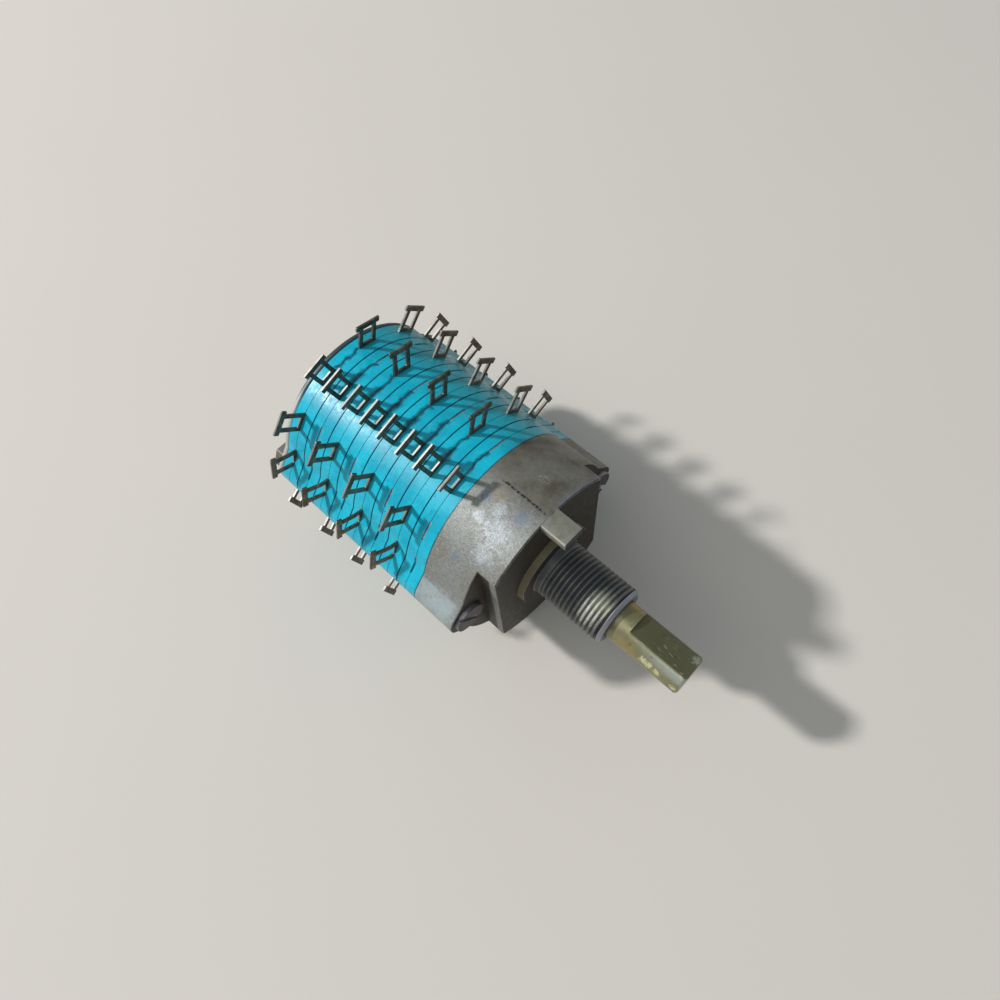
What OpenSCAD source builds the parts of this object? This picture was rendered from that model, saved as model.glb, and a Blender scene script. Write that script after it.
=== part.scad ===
// Stacked rotary switch with a threaded bushing, a flatted shaft, four decks and windowed solder terminals.
// The shaft lies along Y and comes out towards -Y. The origin is on the shaft's axis, in the plane of the
// collar face that seats on a panel. Row angles are clockwise from the top, seen from the front.

/* [Housing] */
// Outside diameter of the housing and the decks
body_d = 31; // [29:0.5:34]
// Length of the housing behind its front face
housing_len = 11.1; // [10.5:0.1:14]
// Thickness of the housing's front wall
front_wall = 2.3; // [1.8:0.1:2.8]
// Distance from the axis to each flat on the front of the housing
flat_half = 11; // [10.4:0.1:11.6]
// Depth of the two screw head pockets behind the front face
pocket_depth = 3.3; // [3:0.1:4]
// Width of the worn chamfer round the housing's front edge
front_chamfer = 0.2; // [0.1:0.05:0.7]
// Diameter of the raised collar that seats on a panel
collar_d = 14.2; // [12.5:0.1:16]
// Height of the raised collar
collar_h = 1.1; // [0.8:0.1:1.8]
// Width of the locating lug
lug_w = 3.45; // [2.5:0.05:4.5]
// Depth of the locating lug towards the axis
lug_h = 1.6; // [1.2:0.1:3]
// Length of the locating lug in front of the front face
lug_len = 4.2; // [3:0.1:6]
// Step from the housing's outside down to the lug
lug_step = 0.1; // [0.05:0.05:0.4]

/* [Tie screws] */
// Distance from the axis to each tie screw
screw_r = 14.4; // [14.1:0.1:15]
// Diameter of the screw shank
screw_d = 2.2; // [2:0.1:2.4]
// Diameter of the screw head
screw_head_d = 5.2; // [4.6:0.1:5.6]
// Height of the screw head
screw_head_h = 0.7; // [0.5:0.1:1.8]
// Width of the driver slot in the screw head
screw_slot_w = 0.8; // [0.5:0.1:1]
// Turn of the driver slots
screw_slot_angle = 35; // [0:5:90]
// Radius of the round boss round each tie screw
boss_r = 3.4; // [3.1:0.1:3.8]
// Half angle over which each boss runs out into the body
boss_foot_angle = 18; // [17:0.5:20]
// Width across the flats of the tie nuts
nut_w = 4.76; // [4:0.02:5]
// Thickness of the tie nuts
nut_h = 1.6; // [1.2:0.1:2]
// Thickness of the lock washers
lock_washer_t = 0.5; // [0.3:0.05:0.8]
// Outside diameter of the lock washers
lock_washer_d = 4.6; // [4.2:0.1:5]
// Length of the screw beyond its nut
screw_tail = 0.8; // [0.4:0.1:1.5]

/* [Bushing and shaft] */
// Outside diameter of the bushing over its thread
bushing_d = 9.525; // [9:0.005:10]
// Diameter of the bushing's plain neck inside the collar
bushing_neck_d = 9.9; // [9.8:0.1:10.4]
// Length of the bushing in front of the collar
bushing_len = 12.3; // [9:0.1:16]
// Chamfer on the bushing's mouth
bushing_chamfer = 0.5; // [0.3:0.05:0.8]
// Diameter of the flange that holds the bushing inside the housing
bushing_flange_d = 12.6; // [11:0.1:13]
// Thickness of that flange
bushing_flange_t = 0.9; // [0.6:0.05:1.3]
// Diameter of the shaft
shaft_d = 6.35; // [6:0.05:6.5]
// Length of the shaft beyond the bushing
shaft_reach = 12.5; // [9:0.1:25]
// Length of the flat at the shaft's end
flat_len = 9.8; // [6:0.1:12]
// Depth of the flat
flat_depth = 0.8; // [0.5:0.05:1.2]
// Clock position of the flat in degrees, which is the contact the wipers stand on
flat_angle = 15; // [15:30:15]
// Chamfer on the shaft's tip
shaft_chamfer = 0.35; // [0.2:0.05:0.6]
// Length of the grease groove just inside the bushing's mouth
groove_len = 1.6; // [1:0.1:3]
// Depth of the grease groove
groove_depth = 0.3; // [0.2:0.05:0.5]
// Diameter of the shoulder behind the bushing
shoulder_d = 9; // [8:0.1:10]
// Length of the shoulder
shoulder_len = 0.9; // [0.7:0.05:1.2]
// Diameter of the shaft's drive length, before its flats
drive_d = 5.2; // [4.6:0.1:5.6]
// Width across the two drive flats
drive_w = 4.1; // [3.6:0.1:4.4]
// Diameter of the shaft's rear journal
journal_d = 3.2; // [2.6:0.1:3.6]
// Length of the journal in front of the end plate
journal_lead = 0.4; // [0.2:0.1:0.8]
// Length of the journal behind the bearing boss
journal_tail = 0.2; // [0.1:0.1:0.6]
// Thickness of the thrust washer
thrust_washer_t = 0.4; // [0.3:0.05:0.5]
// How far the thrust washer stands out past the shoulder
washer_rim = 0.4; // [0.2:0.1:0.8]

/* [Detent] */
// Diameter of the detent cavity in the housing
cavity_d = 17.2; // [16.4:0.1:17.8]
// Number of detent positions round a full turn
detents = 12; // [12:12:12]
// Diameter of the steel detent balls
ball_d = 2.4; // [2.2:0.1:2.6]
// Depth of each detent scallop
scallop_depth = 0.4; // [0.25:0.05:0.5]
// Radius of each detent scallop
scallop_r = 1.6; // [1.4:0.1:2]
// End gap between the stop lug and the cover plate
stop_gap = 0.475; // [0.3:0.025:0.6]
// Clearance that lets the balls roll over the lands
ball_gap = 0.05; // [0.03:0.01:0.1]
// Diameter of the detent spring's wire
spring_wire_d = 0.3; // [0.2:0.02:0.4]
// Turns in each detent spring
spring_turns = 5; // [4:1:7]
// Thickness of the plate that closes the detent cavity
cover_t = 1.2; // [1:0.1:1.5]
// Wall of the housing between that plate's recess and the screw holes
cover_wall = 0.95; // [0.7:0.05:1.6]
// Diameter of the stop pin
stop_pin_d = 1.6; // [1.4:0.1:2]
// Distance from the axis to the stop pin
stop_pin_r = 5.9; // [5.6:0.1:6.4]
// Length of the stop pin in front of its plate
stop_pin_reach = 1; // [0.9:0.05:1.1]
// Half angle of the stop lug on the detent rotor
stop_lug_half = 6; // [5:0.5:6.5]
// Height of the stop lug
stop_lug_h = 1.1; // [1:0.05:1.2]

/* [Decks] */
// Number of decks, each a common wafer and a throw wafer
decks = 4; // [4:1:4]
// Thickness of each wafer
wafer_t = 3.88; // [3.7:0.02:4.2]
// Width of the joint line between two wafers
joint_w = 0.16; // [0.08:0.02:0.3]
// Depth of the joint line between two wafers
joint_depth = 0.16; // [0.08:0.02:0.3]
// Width and depth of the fine seam round the middle of each wafer
seam = 0.07; // [0.04:0.01:0.12]
// Wall of each wafer between its contact chamber and the screw holes
chamber_wall = 2.25; // [1.8:0.05:2.6]
// Thickness of the steel end plate
end_plate_t = 0.9; // [0.8:0.1:1.8]
// Diameter of the plate's bearing boss
end_boss_d = 7; // [6.8:0.1:8]
// Height of the bearing boss behind the plate
end_boss_h = 0.6; // [0.4:0.1:1]

/* [Terminals] */
// Number of throws round each deck
throws = 12; // [12:12:12]
// Clock position of the first contact in degrees
first_row = 15; // [15:30:15]
// Thickness of the terminal metal
blade_t = 0.35; // [0.3:0.05:0.5]
// Width of each terminal over its two legs
blade_w = 3.2; // [2.8:0.1:3.6]
// Width of the window between the legs
window_w = 1.8; // [1.2:0.1:2]
// Radius at which the terminals end
tip_r = 20.05; // [19.4:0.05:21]
// Width of the cross bar at each terminal's tip
bar_w = 4.3; // [4:0.1:5]
// Height of the cross bar
bar_h = 0.9; // [0.7:0.05:1.2]
// Height of the solid web between the body and the window
web_h = 0.6; // [0.3:0.05:0.9]
// Width of each throw contact inside the deck
pad_w = 2.2; // [1.8:0.1:2.4]
// Radius at which the throw contacts end inside the deck
pad_inner_r = 7.8; // [7.6:0.1:8.2]
// Outside diameter of the collector ring
ring_outer_d = 14.8; // [14:0.1:15]
// Inside diameter of the collector ring
ring_inner_d = 10.8; // [10.6:0.1:11.2]
// Length of each terminal's lead inside the chamber
lead_root = 1; // [0.8:0.1:1.2]
// How far each cropped lead sits below the surface
crop_depth = 0.25; // [0.15:0.05:0.5]
// Height above the wafer's outside at which a terminal may be bent
bend_h = 0.3; // [0.2:0.05:0.5]
// Turn of all the terminals against the locating lug, in degrees
deck_turn = -2; // [-3:0.5:3]

/* [Rotors and wipers] */
// Thickness of the rotor disc
rotor_t = 1.2; // [1:0.05:1.4]
// Diameter of the rotor hub
hub_d = 8.8; // [8.4:0.1:9]
// End clearance of each hub in its chamber
hub_gap = 0.1; // [0.05:0.05:0.2]
// Width of the wiper strip
wiper_w = 2.2; // [1.8:0.1:2.6]
// Thickness of the wiper strip
wiper_t = 0.25; // [0.2:0.05:0.3]
// Gap between a wiper dimple and its contact
wiper_gap = 0.05; // [0.03:0.01:0.1]
// Radius of each wiper dimple at its foot
dimple_r = 0.7; // [0.5:0.05:0.8]
// Distance from a throw contact's inner end to the line that the wiper follows
wipe_inset = 1.3; // [1.1:0.1:1.5]
// Length of the wiper strip beyond its dimple
wiper_tongue = 0.3; // [0.1:0.1:0.5]

/* [Clearances] */
// Radial clearance of a running fit, and the shaft's end play
running_gap = 0.025; // [0.02:0.005:0.05]
// How much smaller the flatted end's radius is, so that a knob slides on
knob_ease = 0.01; // [0.005:0.005:0.03]
// Radial clearance of the tie screws in their holes
screw_gap = 0.05; // [0.03:0.01:0.1]
// Radial clearance of the balls in their holes
ball_hole_gap = 0.08; // [0.05:0.01:0.12]
// Radial clearance of the thrust washer on the shaft
washer_gap = 0.1; // [0.05:0.01:0.15]
// Radial clearance of the detent rotor in its cavity
detent_rim_gap = 1.1; // [0.9:0.1:1.4]
// Radial clearance of each rotor disc in its chamber
rotor_rim_gap = 0.7; // [0.6:0.05:1]
// Radial clearance round the drive bar where it passes through the wafers
web_gap = 0.35; // [0.2:0.05:0.5]
// Distance from the contacts to the chamber's floor
floor_gap = 0.1; // [0.05:0.05:0.2]
// Distance from a throw contact's end to the chamber's wall
pad_gap = 0.2; // [0.1:0.05:0.3]

/* [Hidden] */
$fn = 64;
// Small step that carries a cut past a face
cut = 0.5;
body_r = body_d / 2;
row_step = 360 / throws;
// The last row carries the common terminals as well
common_row = throws - 1;
half_wafer = wafer_t / 2;
half_blade = blade_t / 2;

// Places along the shaft, with z = 0 at the collar's seat and z growing towards the shaft's tip
face_z = -collar_h;
pocket_z = face_z - pocket_depth;
housing_rear_z = face_z - housing_len;
cavity_z = face_z - front_wall;
cover_front_z = housing_rear_z + cover_t;
bushing_rear_z = cavity_z - bushing_flange_t;
washer_rear_z = bushing_rear_z - thrust_washer_t;
shoulder_rear_z = washer_rear_z - running_gap - shoulder_len;
shaft_tip_z = bushing_len + shaft_reach;
flat_start_z = shaft_tip_z - flat_len;
detent_rear_z = cover_front_z + stop_gap + stop_lug_h;
detent_rotor_len = shoulder_rear_z - detent_rear_z;
ball_z = (shoulder_rear_z + detent_rear_z) / 2;
stack_rear_z = housing_rear_z - 2 * decks * wafer_t;
plate_rear_z = stack_rear_z - end_plate_t;
nut_front_z = plate_rear_z - lock_washer_t;
nut_rear_z = nut_front_z - nut_h;
screw_rear_z = nut_rear_z - screw_tail;
journal_front_z = stack_rear_z + journal_lead;
journal_rear_z = plate_rear_z - end_boss_h - journal_tail;

// Places of each deck's wafers and contacts
function common_front_z(deck) = housing_rear_z - 2 * deck * wafer_t;
function throw_front_z(deck) = common_front_z(deck) - wafer_t;
function common_mid_z(deck) = common_front_z(deck) - half_wafer;
function throw_mid_z(deck) = throw_front_z(deck) - half_wafer;
function contact_angle(row) = first_row + row * row_step;

// Clock positions at which the twelve rows leave the rim: those beside a boss are set away from its screw
ROW_ANGLES = [15, 45, 71, 106, 135, 165, 195, 225, 258, 289, 315, 345];
function row_angle(row) = ROW_ANGLES[row] + deck_turn;

// Lean of each throw terminal towards the shaft's tip in degrees, by deck and row, as they were bent in use
THROW_LEANS = [
    [4, -1, 0, 1, -2, 0, 2, -3, 9, -13, -4, -9],
    [-1, 0, 0, -2, 1, 3, -2, 0, 11, -6, -4, -2],
    [-3, -2, 0, 0, 2, -1, 2, -4, 17, -10, -4, 4],
    [5, 1, 0, 2, -3, 1, -2, 3, 14, -4, -4, 0]];
// The same for each deck's common terminal
COMMON_LEANS = [6, -3, 2, -2];

shank_hole_r = screw_d / 2 + screw_gap;
shaft_r = shaft_d / 2;
knob_end_r = shaft_r - knob_ease;
bushing_r = bushing_d / 2;
web_bore_r = drive_d / 2 + web_gap;
land_r = cavity_d / 2;
cover_r = screw_r - shank_hole_r - cover_wall;
detent_rotor_r = land_r - detent_rim_gap;
ball_r = ball_d / 2;
ball_track_r = land_r - ball_r - ball_gap;
ball_hole_r = ball_r + ball_hole_gap;
spring_seat_r = drive_w / 2 + spring_wire_d / 2;
spring_r = 0.75 * ball_r;
spring_end_r = ball_track_r - sqrt(pow(ball_r, 2) - pow(spring_r, 2)) - spring_wire_d / 2;
stop_pin_row = 0;
stop_lug_row = stop_pin_row + 165;
chamber_r = screw_r - shank_hole_r - chamber_wall;
lead_inner_r = chamber_r - lead_root;
chamber_depth = half_wafer + half_blade + floor_gap;
rotor_r = chamber_r - rotor_rim_gap;
rotor_half = rotor_t / 2;
wiper_row_r = (ring_inner_d + ring_outer_d) / 4;
throw_wipe_r = pad_inner_r + wipe_inset;
nut_r = nut_w / 2 / cos(30);
// Overlap of a lead with the bent end of its terminal
bend_lap = blade_t / 3;

// Colours as they look on the real switch
zinc = [0.55, 0.51, 0.44];
dark_steel = [0.25, 0.28, 0.31];
worn_brass = [0.62, 0.57, 0.33];
teal = [0.1, 0.65, 0.72];
tinned = [0.6, 0.56, 0.5];
steel = [0.6, 0.6, 0.62];
spring_bronze = [0.72, 0.52, 0.3];
dark_moulding = [0.2, 0.2, 0.2];

// Turns a shape drawn along z so that it lies along the shaft
module along_shaft() { rotate([90, 0, 0]) children(); }

// Carries a shape drawn at the top round to a clock position
module at_clock(angle) { rotate([0, 0, -angle]) children(); }

// Repeats a shape at the two tie screws
module at_screws() {
    for (side = [-1, 1]) translate([side * screw_r, 0, 0]) children();
}

// A ring or tube between two places along z
module tube_between(outer_r, inner_r, front, rear) {
    translate([0, 0, rear]) difference() {
        cylinder(r = outer_r, h = front - rear);
        translate([0, 0, -cut]) cylinder(r = inner_r, h = front - rear + 2 * cut);
    }
}

// Direction from a boss's centre to the point where its straight flank meets its round
foot = body_r * [cos(boss_foot_angle), sin(boss_foot_angle)];
foot_reach = norm(foot - [screw_r, 0]);
flank_turn = atan2(foot[1], foot[0] - screw_r) - acos(boss_r / foot_reach);
// How far the flank's end is sunk into the boss, so that the two outlines cross cleanly
flank_sink = boss_r / 100;

// Outline shared by the housing and every wafer: a circle with a flanked round boss at each tie screw
module body_outline(inset = 0) {
    round_r = body_r - inset;
    flank_r = boss_r - inset - flank_sink;
    union() {
        circle(r = round_r);
        for (side = [0, 1]) mirror([side, 0, 0]) {
            translate([screw_r, 0]) circle(r = boss_r - inset);
            polygon([
                [0, 0],
                [round_r * cos(boss_foot_angle), round_r * sin(boss_foot_angle)],
                [screw_r + flank_r * cos(flank_turn), flank_r * sin(flank_turn)],
                [screw_r + flank_r * cos(flank_turn), -flank_r * sin(flank_turn)],
                [round_r * cos(boss_foot_angle), -round_r * sin(boss_foot_angle)]]);
        }
    }
}

// The die cast housing: a round cup with two screw bosses, two flats with pockets, a collar and a lug
module housing() {
    color(zinc) along_shaft() difference() {
        union() {
            housing_block();
            translate([0, 0, face_z - cut]) cylinder(d = collar_d, h = collar_h + cut);
            locating_lug();
        }
        detent_cavity();
        translate([0, 0, housing_rear_z - cut]) cylinder(r = cover_r, h = cover_t + cut);
        translate([0, 0, cavity_z - cut]) cylinder(d = bushing_neck_d, h = front_wall + collar_h + 2 * cut);
        at_screws() translate([0, 0, housing_rear_z - cut])
            cylinder(r = shank_hole_r, h = housing_len + 2 * cut);
    }
}

// The housing's block, cut back to a flat and a pocket on each side and chamfered round its front edge
module housing_block() {
    difference() {
        translate([0, 0, housing_rear_z]) linear_extrude(housing_len) body_outline();
        for (side = [0, 1]) mirror([side, 0, 0]) {
            translate([flat_half, -body_r, pocket_z]) cube([body_r, body_d, pocket_depth + cut]);
            translate([flat_half, -body_r, face_z]) rotate([0, 45, 0])
                translate([-front_chamfer, 0, -front_chamfer / sqrt(2)])
                cube([2 * front_chamfer, body_d, 2 * front_chamfer]);
        }
        translate([0, 0, face_z]) rotate_extrude() polygon([
            [body_r - 2 * front_chamfer, front_chamfer],
            [body_r + front_chamfer, -2 * front_chamfer],
            [body_r + front_chamfer, front_chamfer]]);
    }
}

// Lug that stops the whole switch turning in its panel
module locating_lug() {
    intersection() {
        translate([-lug_w / 2, body_r - lug_step - lug_h, face_z - cut])
            cube([lug_w, lug_h + lug_step, lug_len + cut]);
        translate([0, 0, face_z - cut]) cylinder(r = body_r - lug_step, h = lug_len + 2 * cut);
    }
}

// Round cavity with a ring of scallops for the detent balls, which end beside the bushing's flange
module detent_cavity() {
    rear = housing_rear_z - cut;
    translate([0, 0, rear]) cylinder(d = cavity_d, h = cavity_z - rear);
    for (position = [0 : detents - 1]) at_clock(first_row + position * 360 / detents)
        translate([0, land_r + scallop_depth - scallop_r, rear])
            cylinder(r = scallop_r, h = bushing_rear_z - rear);
}

// Threaded bushing, here with its thread's outside as a plain cylinder, flanged inside the housing
module bushing() {
    color(dark_steel) along_shaft() rotate_extrude() polygon([
        [shaft_r + running_gap, bushing_rear_z],
        [bushing_flange_d / 2, bushing_rear_z],
        [bushing_flange_d / 2, cavity_z],
        [bushing_neck_d / 2, cavity_z],
        [bushing_neck_d / 2, 0],
        [bushing_r, 0],
        [bushing_r, bushing_len - bushing_chamfer],
        [bushing_r - bushing_chamfer, bushing_len],
        [shaft_r + running_gap, bushing_len]]);
}

// Round bar with two parallel flats that drives the rotors
module drive_bar(front, rear) {
    translate([0, 0, rear]) intersection() {
        cylinder(d = drive_d, h = front - rear);
        translate([0, 0, (front - rear) / 2])
            cube([drive_w, drive_d + 2 * cut, front - rear + cut], center = true);
    }
}

// One turned shaft: flatted end, journal with a grease groove, shoulder, drive bar and rear journal
module shaft() {
    color(worn_brass) along_shaft() {
        at_clock(flat_angle) rotate([0, 0, 90]) difference() {
            rotate_extrude() polygon([
                [0, shoulder_rear_z],
                [shoulder_d / 2, shoulder_rear_z],
                [shoulder_d / 2, washer_rear_z - running_gap],
                [shaft_r, washer_rear_z - running_gap],
                [shaft_r, bushing_len - groove_len],
                [shaft_r - groove_depth, bushing_len - groove_len],
                [shaft_r - groove_depth, bushing_len],
                [shaft_r, bushing_len],
                [shaft_r, flat_start_z],
                [knob_end_r, flat_start_z],
                [knob_end_r, shaft_tip_z - shaft_chamfer],
                [knob_end_r - shaft_chamfer, shaft_tip_z],
                [0, shaft_tip_z]]);
            translate([shaft_r - flat_depth, -shaft_d, flat_start_z]) cube([shaft_d, 2 * shaft_d, flat_len + cut]);
        }
        at_clock(flat_angle) drive_bar(shoulder_rear_z + cut, journal_front_z);
        translate([0, 0, journal_rear_z]) cylinder(d = journal_d, h = journal_front_z - journal_rear_z + cut);
    }
}

// Thin washer between the shaft's shoulder and the bushing
module thrust_washer() {
    color(spring_bronze) along_shaft()
        tube_between(shoulder_d / 2 + washer_rim, shaft_r + washer_gap, bushing_rear_z, washer_rear_z);
}

// Rotor that carries the two detent balls and the stop lug
module detent_rotor() {
    color(dark_moulding) along_shaft() difference() {
        union() {
            translate([0, 0, detent_rear_z]) cylinder(r = detent_rotor_r, h = detent_rotor_len);
            intersection() {
                translate([0, 0, detent_rear_z - stop_lug_h])
                    cylinder(r = detent_rotor_r, h = stop_lug_h + cut);
                at_clock(stop_lug_row) stop_lug_wedge();
            }
        }
        at_clock(flat_angle) drive_bar(shoulder_rear_z + cut, detent_rear_z - stop_lug_h - cut);
        at_clock(flat_angle) translate([0, 0, ball_z]) rotate([0, 90, 0])
            cylinder(r = ball_hole_r, h = 2 * detent_rotor_r + 2 * cut, center = true);
    }
}

// Wedge of the stop lug, out beyond the drive bar
module stop_lug_wedge() {
    lug_inner_r = stop_pin_r - stop_pin_d / 2;
    lug_outer_r = detent_rotor_r + cut;
    translate([0, 0, detent_rear_z - stop_lug_h]) linear_extrude(stop_lug_h + cut) polygon([
        [-lug_inner_r * sin(stop_lug_half), lug_inner_r * cos(stop_lug_half)],
        [-lug_outer_r * sin(stop_lug_half), lug_outer_r * cos(stop_lug_half)],
        [lug_outer_r * sin(stop_lug_half), lug_outer_r * cos(stop_lug_half)],
        [lug_inner_r * sin(stop_lug_half), lug_inner_r * cos(stop_lug_half)]]);
}

// Place and ring of one helical spring, swept as a closed tube of small rings
spring_ring_sides = 6;
spring_rings_per_turn = 12;
function helix_point(i, radius, from, to, steps) =
    [radius * cos(360 * i / spring_rings_per_turn), radius * sin(360 * i / spring_rings_per_turn),
     from + (to - from) * i / steps];
function helix_ring(i, radius, wire_r, from, to, steps) = [
    for (k = [0 : spring_ring_sides - 1])
        let (turn = 360 * i / spring_rings_per_turn, around = 360 * k / spring_ring_sides,
             centre = helix_point(i, radius, from, to, steps))
        [centre[0] + wire_r * cos(around) * cos(turn), centre[1] + wire_r * cos(around) * sin(turn),
         centre[2] + wire_r * sin(around)]];

module helical_spring(radius, wire_r, from, to, turns) {
    steps = turns * spring_rings_per_turn;
    points = [for (i = [0 : steps]) each helix_ring(i, radius, wire_r, from, to, steps)];
    sides = [for (i = [0 : steps - 1], k = [0 : spring_ring_sides - 1])
        [i * spring_ring_sides + k, i * spring_ring_sides + (k + 1) % spring_ring_sides,
         (i + 1) * spring_ring_sides + (k + 1) % spring_ring_sides, (i + 1) * spring_ring_sides + k]];
    first_cap = [for (k = [0 : spring_ring_sides - 1]) spring_ring_sides - 1 - k];
    last_cap = [for (k = [0 : spring_ring_sides - 1]) steps * spring_ring_sides + k];
    polyhedron(points = points, faces = concat(sides, [first_cap, last_cap]));
}

// Repeats a shape drawn along z so that it points out through both ball holes
module at_ball_holes() {
    at_clock(flat_angle) for (side = [-1, 1])
        translate([0, 0, ball_z]) rotate([0, side * 90, 0]) children();
}

// The two compression springs behind the balls
module detent_springs() {
    color(steel) along_shaft() at_ball_holes()
        helical_spring(spring_r, spring_wire_d / 2, spring_seat_r, spring_end_r, spring_turns);
}

// The two steel balls, at the radius at which they roll over the lands
module detent_balls() {
    color(steel) along_shaft() at_ball_holes() translate([0, 0, ball_track_r]) sphere(r = ball_r);
}

// Plate that closes the detent cavity and carries the stop pin
module detent_cover() {
    color(steel) along_shaft() difference() {
        tube_between(cover_r, web_bore_r, cover_front_z, housing_rear_z);
        at_clock(stop_pin_row) translate([0, stop_pin_r, housing_rear_z - cut])
            cylinder(d = stop_pin_d, h = cover_t + 2 * cut);
    }
}

// Pin that the rotor's lug meets at both ends of its travel
module stop_pin() {
    color(steel) along_shaft() at_clock(stop_pin_row) translate([0, stop_pin_r, housing_rear_z])
        cylinder(d = stop_pin_d, h = cover_t + stop_pin_reach);
}

// Solid wafer with a joint line at its rear face and a fine seam round its middle
module wafer_blank(front) {
    mid = front - half_wafer;
    rear = front - wafer_t;
    translate([0, 0, rear]) linear_extrude(joint_w) body_outline(joint_depth);
    translate([0, 0, rear + joint_w]) linear_extrude(half_wafer - joint_w - seam / 2) body_outline();
    translate([0, 0, mid - seam / 2]) linear_extrude(seam) body_outline(seam);
    translate([0, 0, mid + seam / 2]) linear_extrude(half_wafer - seam / 2) body_outline();
}

// Slots through a wafer's rim for all twelve leads, in the plane of the contacts
module lead_slots(mid) {
    slot_len = body_r + boss_r - chamber_r + 2 * cut;
    for (row = [0 : throws - 1]) at_clock(row_angle(row))
        translate([-blade_w / 2, chamber_r - cut, mid - half_blade]) cube([blade_w, slot_len, blade_t]);
}

// Cuts that both kinds of wafer share
module wafer_bores(front) {
    translate([0, 0, front - wafer_t - cut]) cylinder(r = web_bore_r, h = wafer_t + 2 * cut);
    at_screws() translate([0, 0, front - wafer_t - cut]) cylinder(r = shank_hole_r, h = wafer_t + 2 * cut);
}

// Wafer whose open rear half holds the collector ring
module common_wafer(deck) {
    front = common_front_z(deck);
    mid = common_mid_z(deck);
    color(teal) along_shaft() difference() {
        wafer_blank(front);
        wafer_bores(front);
        translate([0, 0, front - wafer_t - cut]) cylinder(r = chamber_r, h = chamber_depth + cut);
        lead_slots(mid);
    }
}

// Wafer whose open front half holds the twelve throw contacts
module throw_wafer(deck) {
    front = throw_front_z(deck);
    mid = throw_mid_z(deck);
    color(teal) along_shaft() difference() {
        wafer_blank(front);
        wafer_bores(front);
        translate([0, 0, front - chamber_depth]) cylinder(r = chamber_r, h = chamber_depth + cut);
        lead_slots(mid);
    }
}

// Half angle that a lead takes up at the body's outside
lead_half_angle = asin(blade_w / 2 / body_r);

// Radius of a wafer's outside at the edge of a row's lead, which is further out on a boss's flank
function rim_r(row) =
    let (from_boss = min(abs(row_angle(row) - 90), abs(row_angle(row) - 270)) - lead_half_angle)
    from_boss > boss_foot_angle ? body_r
        : (boss_r + screw_r * cos(flank_turn)) / cos(from_boss - flank_turn);

// A lead and its terminal, drawn flat: two legs with a window between them under a wider cross bar
module terminal_outline() {
    window_low = body_r + web_h;
    difference() {
        union() {
            translate([-blade_w / 2, lead_inner_r]) square([blade_w, tip_r - lead_inner_r]);
            translate([-bar_w / 2, tip_r - bar_h]) square([bar_w, bar_h]);
        }
        translate([-window_w / 2, window_low]) square([window_w, tip_r - bar_h - window_low]);
    }
}

// The stretch of a flat terminal between two radii
module terminal_stretch(from_r, to_r) {
    linear_extrude(blade_t) intersection() {
        terminal_outline();
        translate([-bar_w, from_r]) square([2 * bar_w, to_r - from_r]);
    }
}

// A row's lead and terminal, whose free end leans about a line just above the wafer's outside
module lead_and_terminal(mid, row, lean) {
    bend_r = rim_r(row) + bend_h;
    translate([0, 0, mid - half_blade]) terminal_stretch(lead_inner_r, bend_r + bend_lap);
    translate([0, bend_r, mid]) rotate([lean, 0, 0]) translate([0, -bend_r, -half_blade])
        terminal_stretch(bend_r - bend_lap, tip_r);
}

// Twelve throw contacts, each running out through the rim to its terminal
module throw_terminals(deck) {
    mid = throw_mid_z(deck);
    color(tinned) along_shaft() for (row = [0 : throws - 1]) {
        at_clock(contact_angle(row)) translate([-pad_w / 2, pad_inner_r, mid - half_blade])
            cube([pad_w, chamber_r - pad_gap - pad_inner_r, blade_t]);
        at_clock(row_angle(row)) lead_and_terminal(mid, row, THROW_LEANS[deck][row]);
    }
}

// Collector ring with its one common terminal
module collector_ring(deck) {
    mid = common_mid_z(deck);
    color(tinned) along_shaft() difference() {
        union() {
            translate([0, 0, mid - half_blade]) cylinder(d = ring_outer_d, h = blade_t);
            at_clock(row_angle(common_row)) {
                translate([-pad_w / 2, ring_inner_d / 2, mid - half_blade])
                    cube([pad_w, chamber_r - pad_gap - ring_inner_d / 2, blade_t]);
                lead_and_terminal(mid, common_row, COMMON_LEANS[deck]);
            }
        }
        translate([0, 0, mid - half_blade - cut]) cylinder(d = ring_inner_d, h = blade_t + 2 * cut);
    }
}

// Eleven leads of the common wafer that were cropped just below its surface
module cropped_leads(deck) {
    mid = common_mid_z(deck);
    lead_len = body_r - crop_depth - chamber_r;
    color(tinned) along_shaft() for (row = [0 : common_row - 1]) at_clock(row_angle(row))
        translate([-blade_w / 2, chamber_r, mid - half_blade]) cube([blade_w, lead_len, blade_t]);
}

// Moulded rotor of one deck, notched at its rim for the wiper
module rotor(deck) {
    centre = (common_mid_z(deck) + throw_mid_z(deck)) / 2;
    hub_half = (wafer_t + blade_t) / 2 - hub_gap;
    color(dark_moulding) along_shaft() difference() {
        union() {
            translate([0, 0, centre - rotor_half]) cylinder(r = rotor_r, h = rotor_t);
            translate([0, 0, centre - hub_half]) cylinder(d = hub_d, h = 2 * hub_half);
        }
        at_clock(flat_angle) drive_bar(centre + hub_half + cut, centre - hub_half - cut);
        at_clock(flat_angle) translate([-wiper_w / 2, rotor_r - 2 * wiper_t, centre - rotor_t])
            cube([wiper_w, 2 * rotor_r, 2 * rotor_t]);
    }
}

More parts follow.
